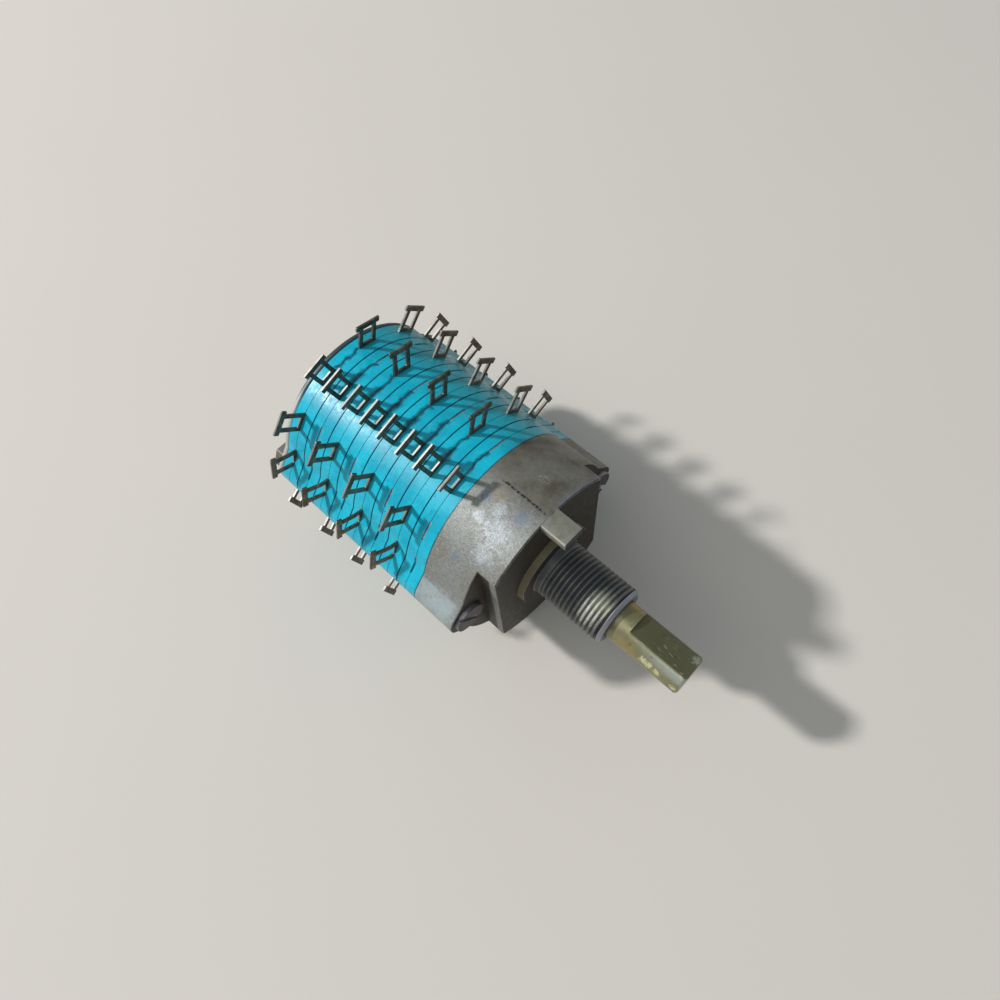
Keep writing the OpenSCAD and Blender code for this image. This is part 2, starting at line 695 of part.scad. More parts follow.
// Wiper clip over the rotor's rim, with one dimple for the collector ring and one for the throws
module wiper(deck) {
    centre = (common_mid_z(deck) + throw_mid_z(deck)) / 2;
    face = half_wafer - half_blade;
    clip_r = rotor_r - 2 * wiper_t;
    dimple_h = face - wiper_gap - rotor_half - wiper_t;
    color(spring_bronze) along_shaft() at_clock(flat_angle) translate([0, 0, centre]) {
        translate([-wiper_w / 2, clip_r, -rotor_half - wiper_t])
            cube([wiper_w, wiper_t, rotor_t + 2 * wiper_t]);
        translate([-wiper_w / 2, wiper_row_r - dimple_r - wiper_tongue, rotor_half])
            cube([wiper_w, clip_r - wiper_row_r + dimple_r + wiper_tongue, wiper_t]);
        translate([-wiper_w / 2, throw_wipe_r - dimple_r - wiper_tongue, -rotor_half - wiper_t])
            cube([wiper_w, clip_r - throw_wipe_r + dimple_r + wiper_tongue, wiper_t]);
        translate([0, wiper_row_r, rotor_half + wiper_t]) wiper_dimple(dimple_h);
        translate([0, throw_wipe_r, -rotor_half - wiper_t]) mirror([0, 0, 1]) wiper_dimple(dimple_h);
    }
}

// Rounded contact dimple
module wiper_dimple(height) {
    cylinder(r1 = dimple_r, r2 = dimple_r / 2, h = height);
}

// Flat steel plate that closes the rear of the stack and carries the shaft's rear journal
module end_plate() {
    color(steel) along_shaft() difference() {
        union() {
            translate([0, 0, plate_rear_z]) linear_extrude(end_plate_t) body_outline();
            translate([0, 0, plate_rear_z - end_boss_h])
                cylinder(d = end_boss_d, h = end_plate_t + end_boss_h);
        }
        translate([0, 0, plate_rear_z - end_boss_h - cut])
            cylinder(r = journal_d / 2 + running_gap, h = end_plate_t + end_boss_h + 2 * cut);
        at_screws() translate([0, 0, plate_rear_z - cut])
            cylinder(r = shank_hole_r, h = end_plate_t + 2 * cut);
    }
}

// Two slotted screws that hold the stack together
module tie_screws() {
    color(steel) along_shaft() at_screws() difference() {
        union() {
            translate([0, 0, screw_rear_z]) cylinder(d = screw_d, h = pocket_z - screw_rear_z);
            translate([0, 0, pocket_z]) cylinder(d = screw_head_d, h = screw_head_h);
        }
        translate([0, 0, pocket_z + screw_head_h]) rotate([0, 0, screw_slot_angle])
            cube([screw_slot_w, screw_head_d + 2 * cut, screw_head_h], center = true);
    }
}

// Two spring lock washers under the nuts
module lock_washers() {
    color(steel) along_shaft() at_screws()
        tube_between(lock_washer_d / 2, screw_d / 2, plate_rear_z, nut_front_z);
}

// Two hexagonal nuts
module tie_nuts() {
    color(steel) along_shaft() at_screws() translate([0, 0, nut_rear_z]) difference() {
        cylinder(r = nut_r, h = nut_h, $fn = 6);
        translate([0, 0, -cut]) cylinder(d = screw_d, h = nut_h + 2 * cut);
    }
}

housing();
bushing();
shaft();
thrust_washer();
detent_rotor();
detent_springs();
detent_balls();
detent_cover();
stop_pin();
common_wafer(0);  // common_wafer_1
throw_wafer(0);  // throw_wafer_1
collector_ring(0);  // collector_ring_1
cropped_leads(0);  // cropped_leads_1
throw_terminals(0);  // throw_terminals_1
rotor(0);  // rotor_1
wiper(0);  // wiper_1
common_wafer(1);  // common_wafer_2
throw_wafer(1);  // throw_wafer_2
collector_ring(1);  // collector_ring_2
cropped_leads(1);  // cropped_leads_2
throw_terminals(1);  // throw_terminals_2
rotor(1);  // rotor_2
wiper(1);  // wiper_2
common_wafer(2);  // common_wafer_3
throw_wafer(2);  // throw_wafer_3
collector_ring(2);  // collector_ring_3
cropped_leads(2);  // cropped_leads_3
throw_terminals(2);  // throw_terminals_3
rotor(2);  // rotor_3
wiper(2);  // wiper_3
common_wafer(3);  // common_wafer_4
throw_wafer(3);  // throw_wafer_4
collector_ring(3);  // collector_ring_4
cropped_leads(3);  // cropped_leads_4
throw_terminals(3);  // throw_terminals_4
rotor(3);  // rotor_4
wiper(3);  // wiper_4
end_plate();
tie_screws();
lock_washers();
tie_nuts();
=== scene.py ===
import math
from functools import cache

import bmesh
import bpy
from bpy.props import FloatProperty, FloatVectorProperty, IntProperty, PointerProperty
from bpy.types import Operator, Panel, PropertyGroup
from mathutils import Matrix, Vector


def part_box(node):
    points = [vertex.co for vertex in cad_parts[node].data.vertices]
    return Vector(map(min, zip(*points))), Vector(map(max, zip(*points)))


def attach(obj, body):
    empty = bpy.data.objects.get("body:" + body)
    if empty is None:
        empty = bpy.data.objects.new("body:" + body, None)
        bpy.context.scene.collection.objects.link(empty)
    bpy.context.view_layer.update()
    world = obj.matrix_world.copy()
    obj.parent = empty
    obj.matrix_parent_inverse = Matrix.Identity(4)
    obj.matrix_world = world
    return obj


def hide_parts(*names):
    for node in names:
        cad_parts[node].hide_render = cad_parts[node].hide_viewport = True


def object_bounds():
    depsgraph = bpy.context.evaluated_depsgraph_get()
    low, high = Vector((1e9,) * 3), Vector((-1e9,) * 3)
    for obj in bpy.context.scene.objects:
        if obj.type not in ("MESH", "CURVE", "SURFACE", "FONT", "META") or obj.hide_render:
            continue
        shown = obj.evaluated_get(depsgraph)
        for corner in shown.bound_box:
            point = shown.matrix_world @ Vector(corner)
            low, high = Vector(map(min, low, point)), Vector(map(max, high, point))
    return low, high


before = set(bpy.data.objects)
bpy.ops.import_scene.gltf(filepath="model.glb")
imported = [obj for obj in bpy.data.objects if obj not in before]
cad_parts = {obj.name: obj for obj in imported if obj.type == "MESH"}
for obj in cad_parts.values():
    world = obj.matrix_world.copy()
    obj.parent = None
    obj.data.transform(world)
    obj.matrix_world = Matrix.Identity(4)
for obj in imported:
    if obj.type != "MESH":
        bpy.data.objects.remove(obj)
CAD_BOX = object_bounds()

bl_info = {
    "name": "Stacked Rotary Switch",
    "version": (1, 0, 0),
    "blender": (4, 5, 0),
    "location": "3D View > Sidebar > Rotary Switch",
    "description": "Dresses a stacked rotary switch: cast housing, thread, wafers, terminals and stage",
    "category": "Object",
}

MM = 0.001
FIXED = "switch_body"
TURNING = "turning_parts"
DECKS = range(1, 5)
WAFERS = [f"{kind}_wafer_{deck}" for deck in DECKS for kind in ("common", "throw")]
TERMINALS = [f"{kind}_{deck}" for deck in DECKS for kind in ("throw_terminals", "collector_ring")]
CROPPED = [f"cropped_leads_{deck}" for deck in DECKS]

# Places in millimetres, read from the frame: y is 0 at the collar's seat and falls towards the shaft's tip
HOUSING_LOW, HOUSING_HIGH = (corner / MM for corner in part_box("housing"))
BUSHING_LOW, BUSHING_HIGH = (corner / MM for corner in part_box("bushing"))
WAFER_LOW, WAFER_HIGH = (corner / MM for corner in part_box("common_wafer_1"))
SHAFT_TIP_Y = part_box("shaft")[0].y / MM
SCREW_FRONT_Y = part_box("tie_screws")[0].y / MM
WAFER_T = WAFER_HIGH.y - WAFER_LOW.y
BODY_R = WAFER_HIGH.z

# Sizes of the solids in millimetres, which the finishes and the bushing's section follow
FACE_Y = 1.1
CAVITY_Y = 3.4
COLLAR_R = 7.1
POCKET_X = 11.0
POCKET_END_Y = FACE_Y + 3.3
LUG_HALF = 1.725
LUG_LOW_Z = BODY_R - 1.7
BUSHING_R = 4.7625
BUSHING_FLANGE_R = BUSHING_HIGH.x
NECK_R = 4.95
BORE_R = 3.2
BORE_CHAMFER = 0.2
COLLAR_CHAMFER = 0.1
MOUTH_Y = BUSHING_LOW.y
MOUTH_CHAMFER = (0.55, 0.5)
THREAD_END_Y = MOUTH_Y + 0.62
SHAFT_R = 3.175
FLAT_TURN = math.radians(15)
FLAT_OUT = (math.sin(FLAT_TURN), 0.0, math.cos(FLAT_TURN))
FLAT_SIDE = (math.cos(FLAT_TURN), 0.0, -math.sin(FLAT_TURN))
FLAT_DISTANCE = SHAFT_R - 0.8
FLAT_START_Y = SHAFT_TIP_Y + 9.8

# The thread is cut outside this share of the bushing's radius, and runs out over this share of a pitch
THREAD_SURFACE = 0.999
THREAD_RUN_OUT = 0.4

# Widths of the rounded edges that no setting holds
SHAFT_EDGE = 0.1 * MM
PLATE_EDGE = 0.3 * MM
FASTENER_EDGE = 0.12 * MM

# How near corners have to be to be joined: as they come, after the rounding, and in the terminals' bends
JOINED = 0.001 * MM
ROUNDED_JOINED = 0.0008 * MM
BENDS_JOINED = 0.02 * MM

# Angles between faces: up to the first they are made one, past the others an edge is rounded or stays sharp
FLAT_ANGLE = math.radians(1)
ROUNDED_ANGLE = math.radians(40)
SHARP_ANGLE = math.radians(50)

# The stage in metres and degrees: the lamps are placed from the middle of the switch
KEY_DIRECTION = (-0.588, 0.82, 0.809)
KEY_DISTANCE = 1.7
SKY_DIRECTION = (-0.5, 0.1, 1.0)
SKY_DISTANCE = 0.7
SKY_SIZE = 0.5
SKY_POWER = 0.8
FILL_COLOUR = (0.84, 0.92, 1.0, 1.0)
CAMERA_PLACE = Vector((-31.93, -27.34, 107.04)) * MM
CAMERA_TURN = (26.378, 3.386, -46.708)
FLOOR_HALF = 1.5


class CastingLook(PropertyGroup):
    """Finish of the die cast housing"""

    edge: FloatProperty(
        name="Edge", description="Width of the worn edges", default=0.09 * MM,
        min=0.01 * MM, max=0.3 * MM, unit="LENGTH", precision=5)
    skin: FloatProperty(
        name="Skin", description="Depth of the casting's grain", default=0.035 * MM,
        min=0, max=0.2 * MM, unit="LENGTH", precision=5)
    metal: FloatVectorProperty(
        name="Metal", description="Colour of the dull casting", subtype="COLOR",
        default=(0.205, 0.20, 0.165), min=0, max=1)
    shade: FloatVectorProperty(
        name="Stain", description="Colour of the brown stains", subtype="COLOR",
        default=(0.10, 0.087, 0.06), min=0, max=1)
    # The worn side is also painted paler, as painted light on the side that faces the key lamp
    worn: FloatVectorProperty(
        name="Worn", description="Colour of the worn side", subtype="COLOR",
        default=(0.225, 0.235, 0.215), min=0, max=1)
    oxide: FloatVectorProperty(
        name="Oxide", description="Colour of the pale oxide", subtype="COLOR",
        default=(0.46, 0.50, 0.54), min=0, max=1)


class ThreadSizes(PropertyGroup):
    """Sizes of the bushing's thread"""

    pitch: FloatProperty(
        name="Pitch", description="Distance between two crests", default=0.794 * MM,
        min=0.4 * MM, max=1.5 * MM, unit="LENGTH", precision=5)
    depth: FloatProperty(
        name="Depth", description="Depth of the thread", default=0.34 * MM,
        min=0.1 * MM, max=0.6 * MM, unit="LENGTH", precision=5)
    plain_neck: FloatProperty(
        name="Plain Neck", description="Length without thread in front of the collar", default=0.9 * MM,
        min=0, max=4 * MM, unit="LENGTH", precision=5)
    columns: IntProperty(
        name="Columns", description="Mesh columns round the bushing", default=128, min=24, max=256)
    rows_per_turn: IntProperty(
        name="Rows", description="Mesh rows in one pitch", default=14, min=6, max=24)


class MouldingLook(PropertyGroup):
    """Finish of the teal wafers"""

    edge: FloatProperty(
        name="Edge", description="Width of the softened edges", default=0.04 * MM,
        min=0.01 * MM, max=0.2 * MM, unit="LENGTH", precision=5)
    colour: FloatVectorProperty(
        name="Colour", description="Colour of the moulding", subtype="COLOR",
        default=(0.002, 0.455, 0.61), min=0, max=1)
    deep: FloatVectorProperty(
        name="Deep Colour", description="Darker tint in the moulding", subtype="COLOR",
        default=(0.002, 0.355, 0.495), min=0, max=1)
    grime: FloatVectorProperty(
        name="Grime", description="Colour of the dirt in the joints", subtype="COLOR",
        default=(0.004, 0.05, 0.075), min=0, max=1)


class MetalLook(PropertyGroup):
    """Finish of the terminals and the shaft"""

    edge: FloatProperty(
        name="Edge", description="Width of the terminals' softened edges", default=0.05 * MM,
        min=0.01 * MM, max=0.2 * MM, unit="LENGTH", precision=5)
    tarnish: FloatVectorProperty(
        name="Tarnish", description="Colour of the tarnished terminals", subtype="COLOR",
        default=(0.17, 0.14, 0.10), min=0, max=1)
    # The bright colour is a painted highlight, given to the terminals' faces that turn to the key lamp
    bright: FloatVectorProperty(
        name="Bright", description="Colour of the sheared edges", subtype="COLOR",
        default=(0.37, 0.345, 0.315), min=0, max=1)
    brass: FloatVectorProperty(
        name="Brass", description="Colour of the worn shaft", subtype="COLOR",
        default=(0.27, 0.26, 0.14), min=0, max=1)


class StageSettings(PropertyGroup):
    """Floor, lamps and camera"""

    floor: FloatVectorProperty(
        name="Floor", description="Colour of the floor", subtype="COLOR",
        default=(0.66, 0.62, 0.56), min=0, max=1)
    key_power: FloatProperty(
        name="Key", description="Power of the key lamp in watts", default=25.5, min=0, max=200)
    key_size: FloatProperty(
        name="Key Size", description="Side of the key lamp", default=0.11, min=0.01, max=1, unit="LENGTH")
    fill: FloatProperty(
        name="Fill", description="Strength of the light from all round", default=0.33, min=0, max=2)
    lens: FloatProperty(
        name="Lens", description="Focal length of the camera in millimetres", default=27.44,
        min=10, max=200)


def settings():
    """The add-on's settings in the open scene"""
    return bpy.context.scene.rotary_switch


class SwitchSettings(PropertyGroup):
    """All settings of the rotary switch"""

    casting: PointerProperty(type=CastingLook)
    thread: PointerProperty(type=ThreadSizes)
    moulding: PointerProperty(type=MouldingLook)
    metal: PointerProperty(type=MetalLook)
    stage: PointerProperty(type=StageSettings)


# Node trees

def node(tree, kind, inputs=None, **traits):
    """Adds a node, sets its traits, and fills or links its inputs"""
    made = tree.nodes.new(kind)
    for trait, value in traits.items():
        setattr(made, trait, value)
    for key, value in (inputs or {}).items():
        if isinstance(value, bpy.types.NodeSocket):
            tree.links.new(value, made.inputs[key])
        else:
            made.inputs[key].default_value = value
    return made


def maths(tree, operation, first, second=0.0, third=0.0, clamp=False):
    """The result of a Math node"""
    made = node(tree, "ShaderNodeMath", {0: first, 1: second, 2: third}, operation=operation)
    made.use_clamp = clamp
    return made.outputs[0]


def vectors(tree, operation, first, second=None, scale=None):
    """The result of a Vector Math node"""
    made = node(tree, "ShaderNodeVectorMath", {0: first}, operation=operation)
    for key, value in ((1, second), ("Scale", scale)):
        if isinstance(value, bpy.types.NodeSocket):
            tree.links.new(value, made.inputs[key])
        elif value is not None:
            made.inputs[key].default_value = value
    return made.outputs["Value" if operation in ("LENGTH", "DOT_PRODUCT", "DISTANCE") else "Vector"]


def ramp(tree, value, low, high):
    """0 below low, 1 above high, and smooth between them"""
    return node(tree, "ShaderNodeMapRange", {"Value": value, "From Min": low, "From Max": high},
                interpolation_type="SMOOTHSTEP").outputs["Result"]


def fade(tree, value, low, high):
    """1 below low, 0 above high, and smooth between them"""
    return maths(tree, "SUBTRACT", 1.0, ramp(tree, value, low, high))


def times(tree, first, *others):
    """The product of two or more values"""
    for other in others:
        first = maths(tree, "MULTIPLY", first, other)
    return first


def blend(tree, share, first, second):
    """A mix of two colours"""
    made = node(tree, "ShaderNodeMix", {"Factor": share}, data_type="RGBA")
    for key, value in (("A", first), ("B", second)):
        socket = next(s for s in made.inputs if s.name == key and s.type == "RGBA")
        if isinstance(value, bpy.types.NodeSocket):
            tree.links.new(value, socket)
        else:
            socket.default_value = (*value, 1.0)
    return next(s for s in made.outputs if s.type == "RGBA")


def new_tree(name, kind, inputs, outputs):
    """A node group with named sockets, and its input and output nodes"""
    tree = bpy.data.node_groups.new(name, kind)
    for direction, sockets in (("INPUT", inputs), ("OUTPUT", outputs)):
        for label, (socket_type, default) in sockets.items():
            socket = tree.interface.new_socket(label, in_out=direction, socket_type=socket_type)
            if default is not None:
                socket.default_value = default
    return tree, tree.nodes.new("NodeGroupInput"), tree.nodes.new("NodeGroupOutput")


FLOAT = "NodeSocketFloat"
VECTOR = "NodeSocketVector"
SHAPE = "NodeSocketGeometry"


# Marks that the photo shows, each as its centre and radius in millimetres, and the side of the terminals
# that faces the key lamp and takes a painted highlight
OXIDE_SPOTS = (((-6.3, 5.3, 14.2), 3.0), ((-5.9, 8.8, 14.3), 1.3), ((-3.6, 7.0, 15.0), 1.4),
               ((-9.3, 5.0, 12.4), 2.2), ((-17.0, 7.5, 3.0), 3.6))
BLUE_SPOTS = (((-2.7, 3.9, 15.3), 1.5), ((-11.3, 8.4, 10.6), 0.8), ((-3.2, 9.6, 15.0), 1.2),
              ((0.6, -3.1, 14.6), 1.0))
LAMP_SIDE = Vector((-0.6, 0.0, 0.8))
LAMP_SIDE_COSINE = 0.8
THREAD_RUB = ((-3.4, -9.0, 3.3), 2.6)
SHAFT_RUBS = (((-2.9, -18.6, 1.3), 0.8), ((-2.9, -19.7, 1.3), 0.8), ((-3.0, -21.1, 1.1), 0.6),
              ((-3.1, -23.9, 0.8), 0.6))

# Shared surface effects

@cache
def blotches():
    """Group: uneven patches, from nothing to full over a soft edge"""
    tree, given, result = new_tree("Blotches", "ShaderNodeTree", {
        "Place": (VECTOR, None), "Scale": (FLOAT, 1.0), "Threshold": (FLOAT, 0.5), "Softness": (FLOAT, 0.1),
        "Detail": (FLOAT, 5.0)}, {"Mask": (FLOAT, None)})
    cloud = node(tree, "ShaderNodeTexNoise", {
        "Vector": given.outputs["Place"], "Scale": given.outputs["Scale"],
        "Detail": given.outputs["Detail"], "Roughness": 0.6}).outputs["Fac"]
    high = maths(tree, "ADD", given.outputs["Threshold"], given.outputs["Softness"])
    tree.links.new(ramp(tree, cloud, given.outputs["Threshold"], high), result.inputs["Mask"])
    return tree


@cache
def joint_grime():
    """Group: dirt along the joints, which repeat along y, broken up by noise"""
    tree, given, result = new_tree("Joint Grime", "ShaderNodeTree", {
        "Place": (VECTOR, None), "Start": (FLOAT, 0.0), "Period": (FLOAT, 1.0), "Width": (FLOAT, 0.1),
        "Breakup": (FLOAT, 0.5)}, {"Mask": (FLOAT, None)})
    along = node(tree, "ShaderNodeSeparateXYZ", {0: given.outputs["Place"]}).outputs["Y"]
    from_start = maths(tree, "SUBTRACT", along, given.outputs["Start"])
    periods = maths(tree, "DIVIDE", from_start, given.outputs["Period"])
    offset = maths(tree, "ABSOLUTE", maths(tree, "SUBTRACT", periods, maths(tree, "ROUND", periods)))
    distance = times(tree, offset, given.outputs["Period"])
    cloud = node(tree, "ShaderNodeTexNoise", {
        "Vector": given.outputs["Place"], "Scale": 0.9, "Detail": 5.0}).outputs["Fac"]
    spread = times(tree, given.outputs["Width"], maths(tree, "ADD", cloud, 0.5))
    line = fade(tree, distance, 0.0, spread)
    loss = times(tree, maths(tree, "SUBTRACT", cloud, 0.3, clamp=True), given.outputs["Breakup"])
    tree.links.new(maths(tree, "SUBTRACT", line, loss, clamp=True), result.inputs["Mask"])
    return tree


@cache
def scratches():
    """Group: fine lines, drawn out along the axes where the stretch is small"""
    tree, given, result = new_tree("Scratches", "ShaderNodeTree", {
        "Place": (VECTOR, None), "Stretch": (VECTOR, (1.0, 0.1, 1.0)), "Scale": (FLOAT, 4.0),
        "Threshold": (FLOAT, 0.6)}, {"Mask": (FLOAT, None)})
    stretched = vectors(tree, "MULTIPLY", given.outputs["Place"], given.outputs["Stretch"])
    cloud = node(tree, "ShaderNodeTexNoise", {
        "Vector": stretched, "Scale": given.outputs["Scale"], "Detail": 3.0}).outputs["Fac"]
    high = maths(tree, "ADD", given.outputs["Threshold"], 0.06)
    tree.links.new(ramp(tree, cloud, given.outputs["Threshold"], high), result.inputs["Mask"])
    return tree


@cache
def spot():
    """Group: one ragged patch round a centre"""
    tree, given, result = new_tree("Spot", "ShaderNodeTree", {
        "Place": (VECTOR, None), "Centre": (VECTOR, None), "Radius": (FLOAT, 1.0), "Softness": (FLOAT, 0.5),
        "Raggedness": (FLOAT, 0.6), "Grain": (FLOAT, 1.5)}, {"Mask": (FLOAT, None)})
    distance = vectors(tree, "DISTANCE", given.outputs["Place"], given.outputs["Centre"])
    share = maths(tree, "DIVIDE", distance, given.outputs["Radius"])
    cloud = node(tree, "ShaderNodeTexNoise", {
        "Vector": given.outputs["Place"], "Scale": given.outputs["Grain"],
        "Detail": 6.0, "Roughness": 0.65}).outputs["Fac"]
    wander = times(tree, maths(tree, "SUBTRACT", cloud, 0.5), given.outputs["Raggedness"], 4.0)
    inner = maths(tree, "SUBTRACT", 1.0, given.outputs["Softness"])
    tree.links.new(fade(tree, maths(tree, "ADD", share, wander), inner, 1.0), result.inputs["Mask"])
    return tree


class Finish:
    """A material being built: its tree, its shader, and the place on the part in millimetres"""

    def __init__(self, name, metallic, specular=0.5):
        self.material = bpy.data.materials.new(name)
        self.material.use_nodes = True
        self.tree = self.material.node_tree
        self.shader = self.tree.nodes["Principled BSDF"]
        self.shader.inputs["Metallic"].default_value = metallic
        self.shader.inputs["Specular IOR Level"].default_value = specular
        coordinates = node(self.tree, "ShaderNodeTexCoord").outputs["Object"]
        self.place = vectors(self.tree, "SCALE", coordinates, scale=1 / MM)
        axes = node(self.tree, "ShaderNodeSeparateXYZ", {0: self.place}).outputs
        self.x, self.y, self.z = axes["X"], axes["Y"], axes["Z"]

    def radius(self):
        """Distance from the shaft's axis"""
        return vectors(self.tree, "LENGTH", vectors(self.tree, "MULTIPLY", self.place, (1.0, 0.0, 1.0)))

    def clock(self):
        """Angle from the top in degrees, clockwise seen from the front"""
        return times(self.tree, maths(self.tree, "ARCTAN2", self.x, self.z), 180 / math.pi)

    def ramp(self, value, low, high):
        """Mask that rises from low to high"""
        return ramp(self.tree, value, low, high)

    def fade(self, value, low, high):
        """Mask that falls from low to high"""
        return fade(self.tree, value, low, high)

    def times(self, first, *others):
        """Mask where all the given masks hold"""
        return times(self.tree, first, *others)

    def highest(self, first, *others):
        """Mask where any of the given masks holds"""
        for other in others:
            first = maths(self.tree, "MAXIMUM", first, other)
        return first

    def without(self, mask):
        """Mask where the given one doesn't hold"""
        return maths(self.tree, "SUBTRACT", 1.0, mask)

    def scaled(self, value, gain, start):
        """A value times a gain, on top of a start"""
        return maths(self.tree, "MULTIPLY_ADD", value, gain, start)

    def effect(self, group, place=None, **inputs):
        """Mask from a shared effect with its own values"""
        made = self.tree.nodes.new("ShaderNodeGroup")
        made.node_tree = group
        self.tree.links.new(self.place if place is None else place, made.inputs["Place"])
        for label, value in inputs.items():
            made.inputs[label].default_value = value
        return made.outputs["Mask"]

    def patches(self, scale, threshold, softness, detail=5.0):
        """Mask of uneven patches"""
        return self.effect(blotches(), Scale=scale, Threshold=threshold, Softness=softness, Detail=detail)

    def spot(self, centre, radius, softness=0.5, raggedness=0.6, grain=1.5):
        """Mask of one ragged patch; centre and radius are in millimetres"""
        return self.effect(
            spot(), Centre=centre, Radius=radius, Softness=softness, Raggedness=raggedness, Grain=grain)

    def lines(self, stretch, scale, threshold):
        """Mask of fine scratches"""
        return self.effect(scratches(), Stretch=stretch, Scale=scale, Threshold=threshold)

    def joints(self, start, width, breakup, place=None):
        """Mask of the dirt along joints a wafer's thickness apart; start and width are in millimetres"""
        return self.effect(joint_grime(), place, Start=start, Period=WAFER_T, Width=width, Breakup=breakup)

    def cloud(self, scale, detail=4.0):
        """Plain noise between 0 and 1"""
        return node(self.tree, "ShaderNodeTexNoise", {
            "Vector": self.place, "Scale": scale, "Detail": detail}).outputs["Fac"]

    def mix(self, share, first, second):
        """A mix of two colours"""
        return blend(self.tree, share, first, second)

    def layered(self, colour, *layers):
        """A colour with others laid over it in turn, each given as its mask, its share and its colour"""
        for mask, share, over in layers:
            colour = self.mix(self.times(mask, share), colour, over)
        return colour

    def colour(self, value):
        """Feeds the base colour"""
        self.tree.links.new(value, self.shader.inputs["Base Color"])

    def rough(self, scale, low, high):
        """Roughness that wanders between two values"""
        value = self.scaled(self.cloud(scale), high - low, low)
        self.tree.links.new(value, self.shader.inputs["Roughness"])

    def bump(self, height, depth):
        """Bump of a height between 0 and 1, depth in millimetres"""
        made = node(self.tree, "ShaderNodeBump", {
            "Height": height, "Strength": 1.0, "Distance": depth * MM})
        self.tree.links.new(made.outputs["Normal"], self.shader.inputs["Normal"])


# Materials

def weathered_with_painted_light(made, look):
    """The casting's colour: dull, stained and darker on the right, worn, oxidised and paler on the left,
    partly as painted light and shade for how the key lamp falls, with a painted pale flank on the left boss
    and a painted bluish reflection along the front right edge
    """
    # Partly wear and oxide, partly painted light: the left side, which faces the key lamp, is paler and
    # worn, and the right side is darker as painted shade
    left = made.fade(made.x, -2.5, 1.2)
    dull = made.mix(made.patches(0.22, 0.38, 0.35), look.metal, look.shade)
    worn = made.mix(made.patches(0.3, 0.42, 0.3), look.worn, (0.20, 0.19, 0.15))
    wiped = made.times(made.lines((1.0, 0.3, 1.0), 6.0, 0.52), left)
    grains = made.scaled(made.patches(4.5, 0.4, 0.2), 0.65, 0.35)
    sparks = made.times(left, made.patches(7.0, 0.53, 0.08, 3.0))
    # Painted light: the left boss's flank is painted pale and bluish, as if the key lamp lit it more than
    # the side beside it
    painted_boss_light = made.times(made.ramp(made.clock(), -73.6, -75.4), made.ramp(made.y, 4.0, 6.0))
    uneven = made.scaled(made.patches(0.6, 0.3, 0.3), 0.5, 0.5)
    # Painted reflection: a bluish band along the front right edge, next to the front face
    wavering = made.scaled(made.cloud(0.9), -1.6, made.y)
    painted_edge_reflection = made.times(
        made.ramp(made.x, 1.6, 2.4), made.ramp(made.z, 9.0, 10.5), made.fade(wavering, 0.5, 1.4))
    return made.layered(
        made.mix(left, dull, worn),
        (made.patches(1.7, 0.42, 0.3), 0.3, look.shade),
        (made.patches(5.0, 0.5, 0.25), 0.22, (0.30, 0.29, 0.25)),
        (made.spot((-2.0, 8.6, 15.2), 2.0, 0.9, 0.5), 0.5, (0.27, 0.20, 0.10)),
        (wiped, 0.22, look.oxide),
        *((made.times(made.spot(*mark, 0.9, 0.6, 1.6), grains), 0.85, look.oxide) for mark in OXIDE_SPOTS),
        (sparks, 0.3, (0.55, 0.57, 0.58)),
        (made.times(painted_boss_light, uneven), 0.8, (0.40, 0.47, 0.48)),
        *((made.spot(*mark, 0.8, 0.5, 1.6), 0.5, (0.13, 0.19, 0.30)) for mark in BLUE_SPOTS),
        (painted_edge_reflection, 0.5, (0.17, 0.20, 0.27)))


def with_painted_front_light_and_stains(made, colour):
    """The casting's colour with painted shade on its front, its pockets and the lug's front end, painted
    highlights on the collar and the lug's left edge, and the lug's own tone and stains
    """
    # Painted shade: the front faces, apart from the lug, and the pockets are painted dark brown where the
    # key lamp, which is behind, leaves them in shade
    front = made.fade(made.y, FACE_Y + 0.02, FACE_Y + 0.2)
    sideways = maths(made.tree, "ABSOLUTE", made.x)
    by_lug = made.times(
        made.ramp(made.z, LUG_LOW_Z - 0.15, LUG_LOW_Z - 0.05),
        made.fade(sideways, LUG_HALF + 0.035, LUG_HALF + 0.075))
    on_lug = made.times(by_lug, front)
    pocket = made.times(
        made.ramp(sideways, POCKET_X - 0.1, POCKET_X - 0.02), made.ramp(made.y, FACE_Y + 1.0, FACE_Y + 1.4),
        made.fade(made.y, POCKET_END_Y + 0.02, POCKET_END_Y + 0.2))
    # Painted highlight: the collar's side is painted light tan, where the lamp catches it
    collar = made.times(
        made.fade(made.radius(), COLLAR_R + 0.02, COLLAR_R + 0.1), made.ramp(made.y, 0.04, 0.1))
    # Painted highlight on the lug's left edge, and painted shade on the lug's front end face
    lug_edge_highlight = made.times(on_lug, made.ramp(made.x, -1.5, -1.68), made.ramp(made.z, 14.8, 15.0))
    lug_end_shade = made.fade(made.y, HOUSING_LOW.y + 0.03, HOUSING_LOW.y + 0.1)
    return made.layered(
        colour,
        (made.highest(made.times(front, made.without(by_lug)), pocket), 0.92, (0.026, 0.018, 0.010)),
        (collar, 0.85, (0.30, 0.25, 0.15)),
        (on_lug, 0.8, (0.25, 0.255, 0.205)),
        (made.times(on_lug, made.patches(0.9, 0.42, 0.25)), 0.6, (0.16, 0.145, 0.11)),
        (lug_edge_highlight, 0.85, (0.72, 0.69, 0.55)),
        (lug_end_shade, 0.85, (0.04, 0.055, 0.09)))


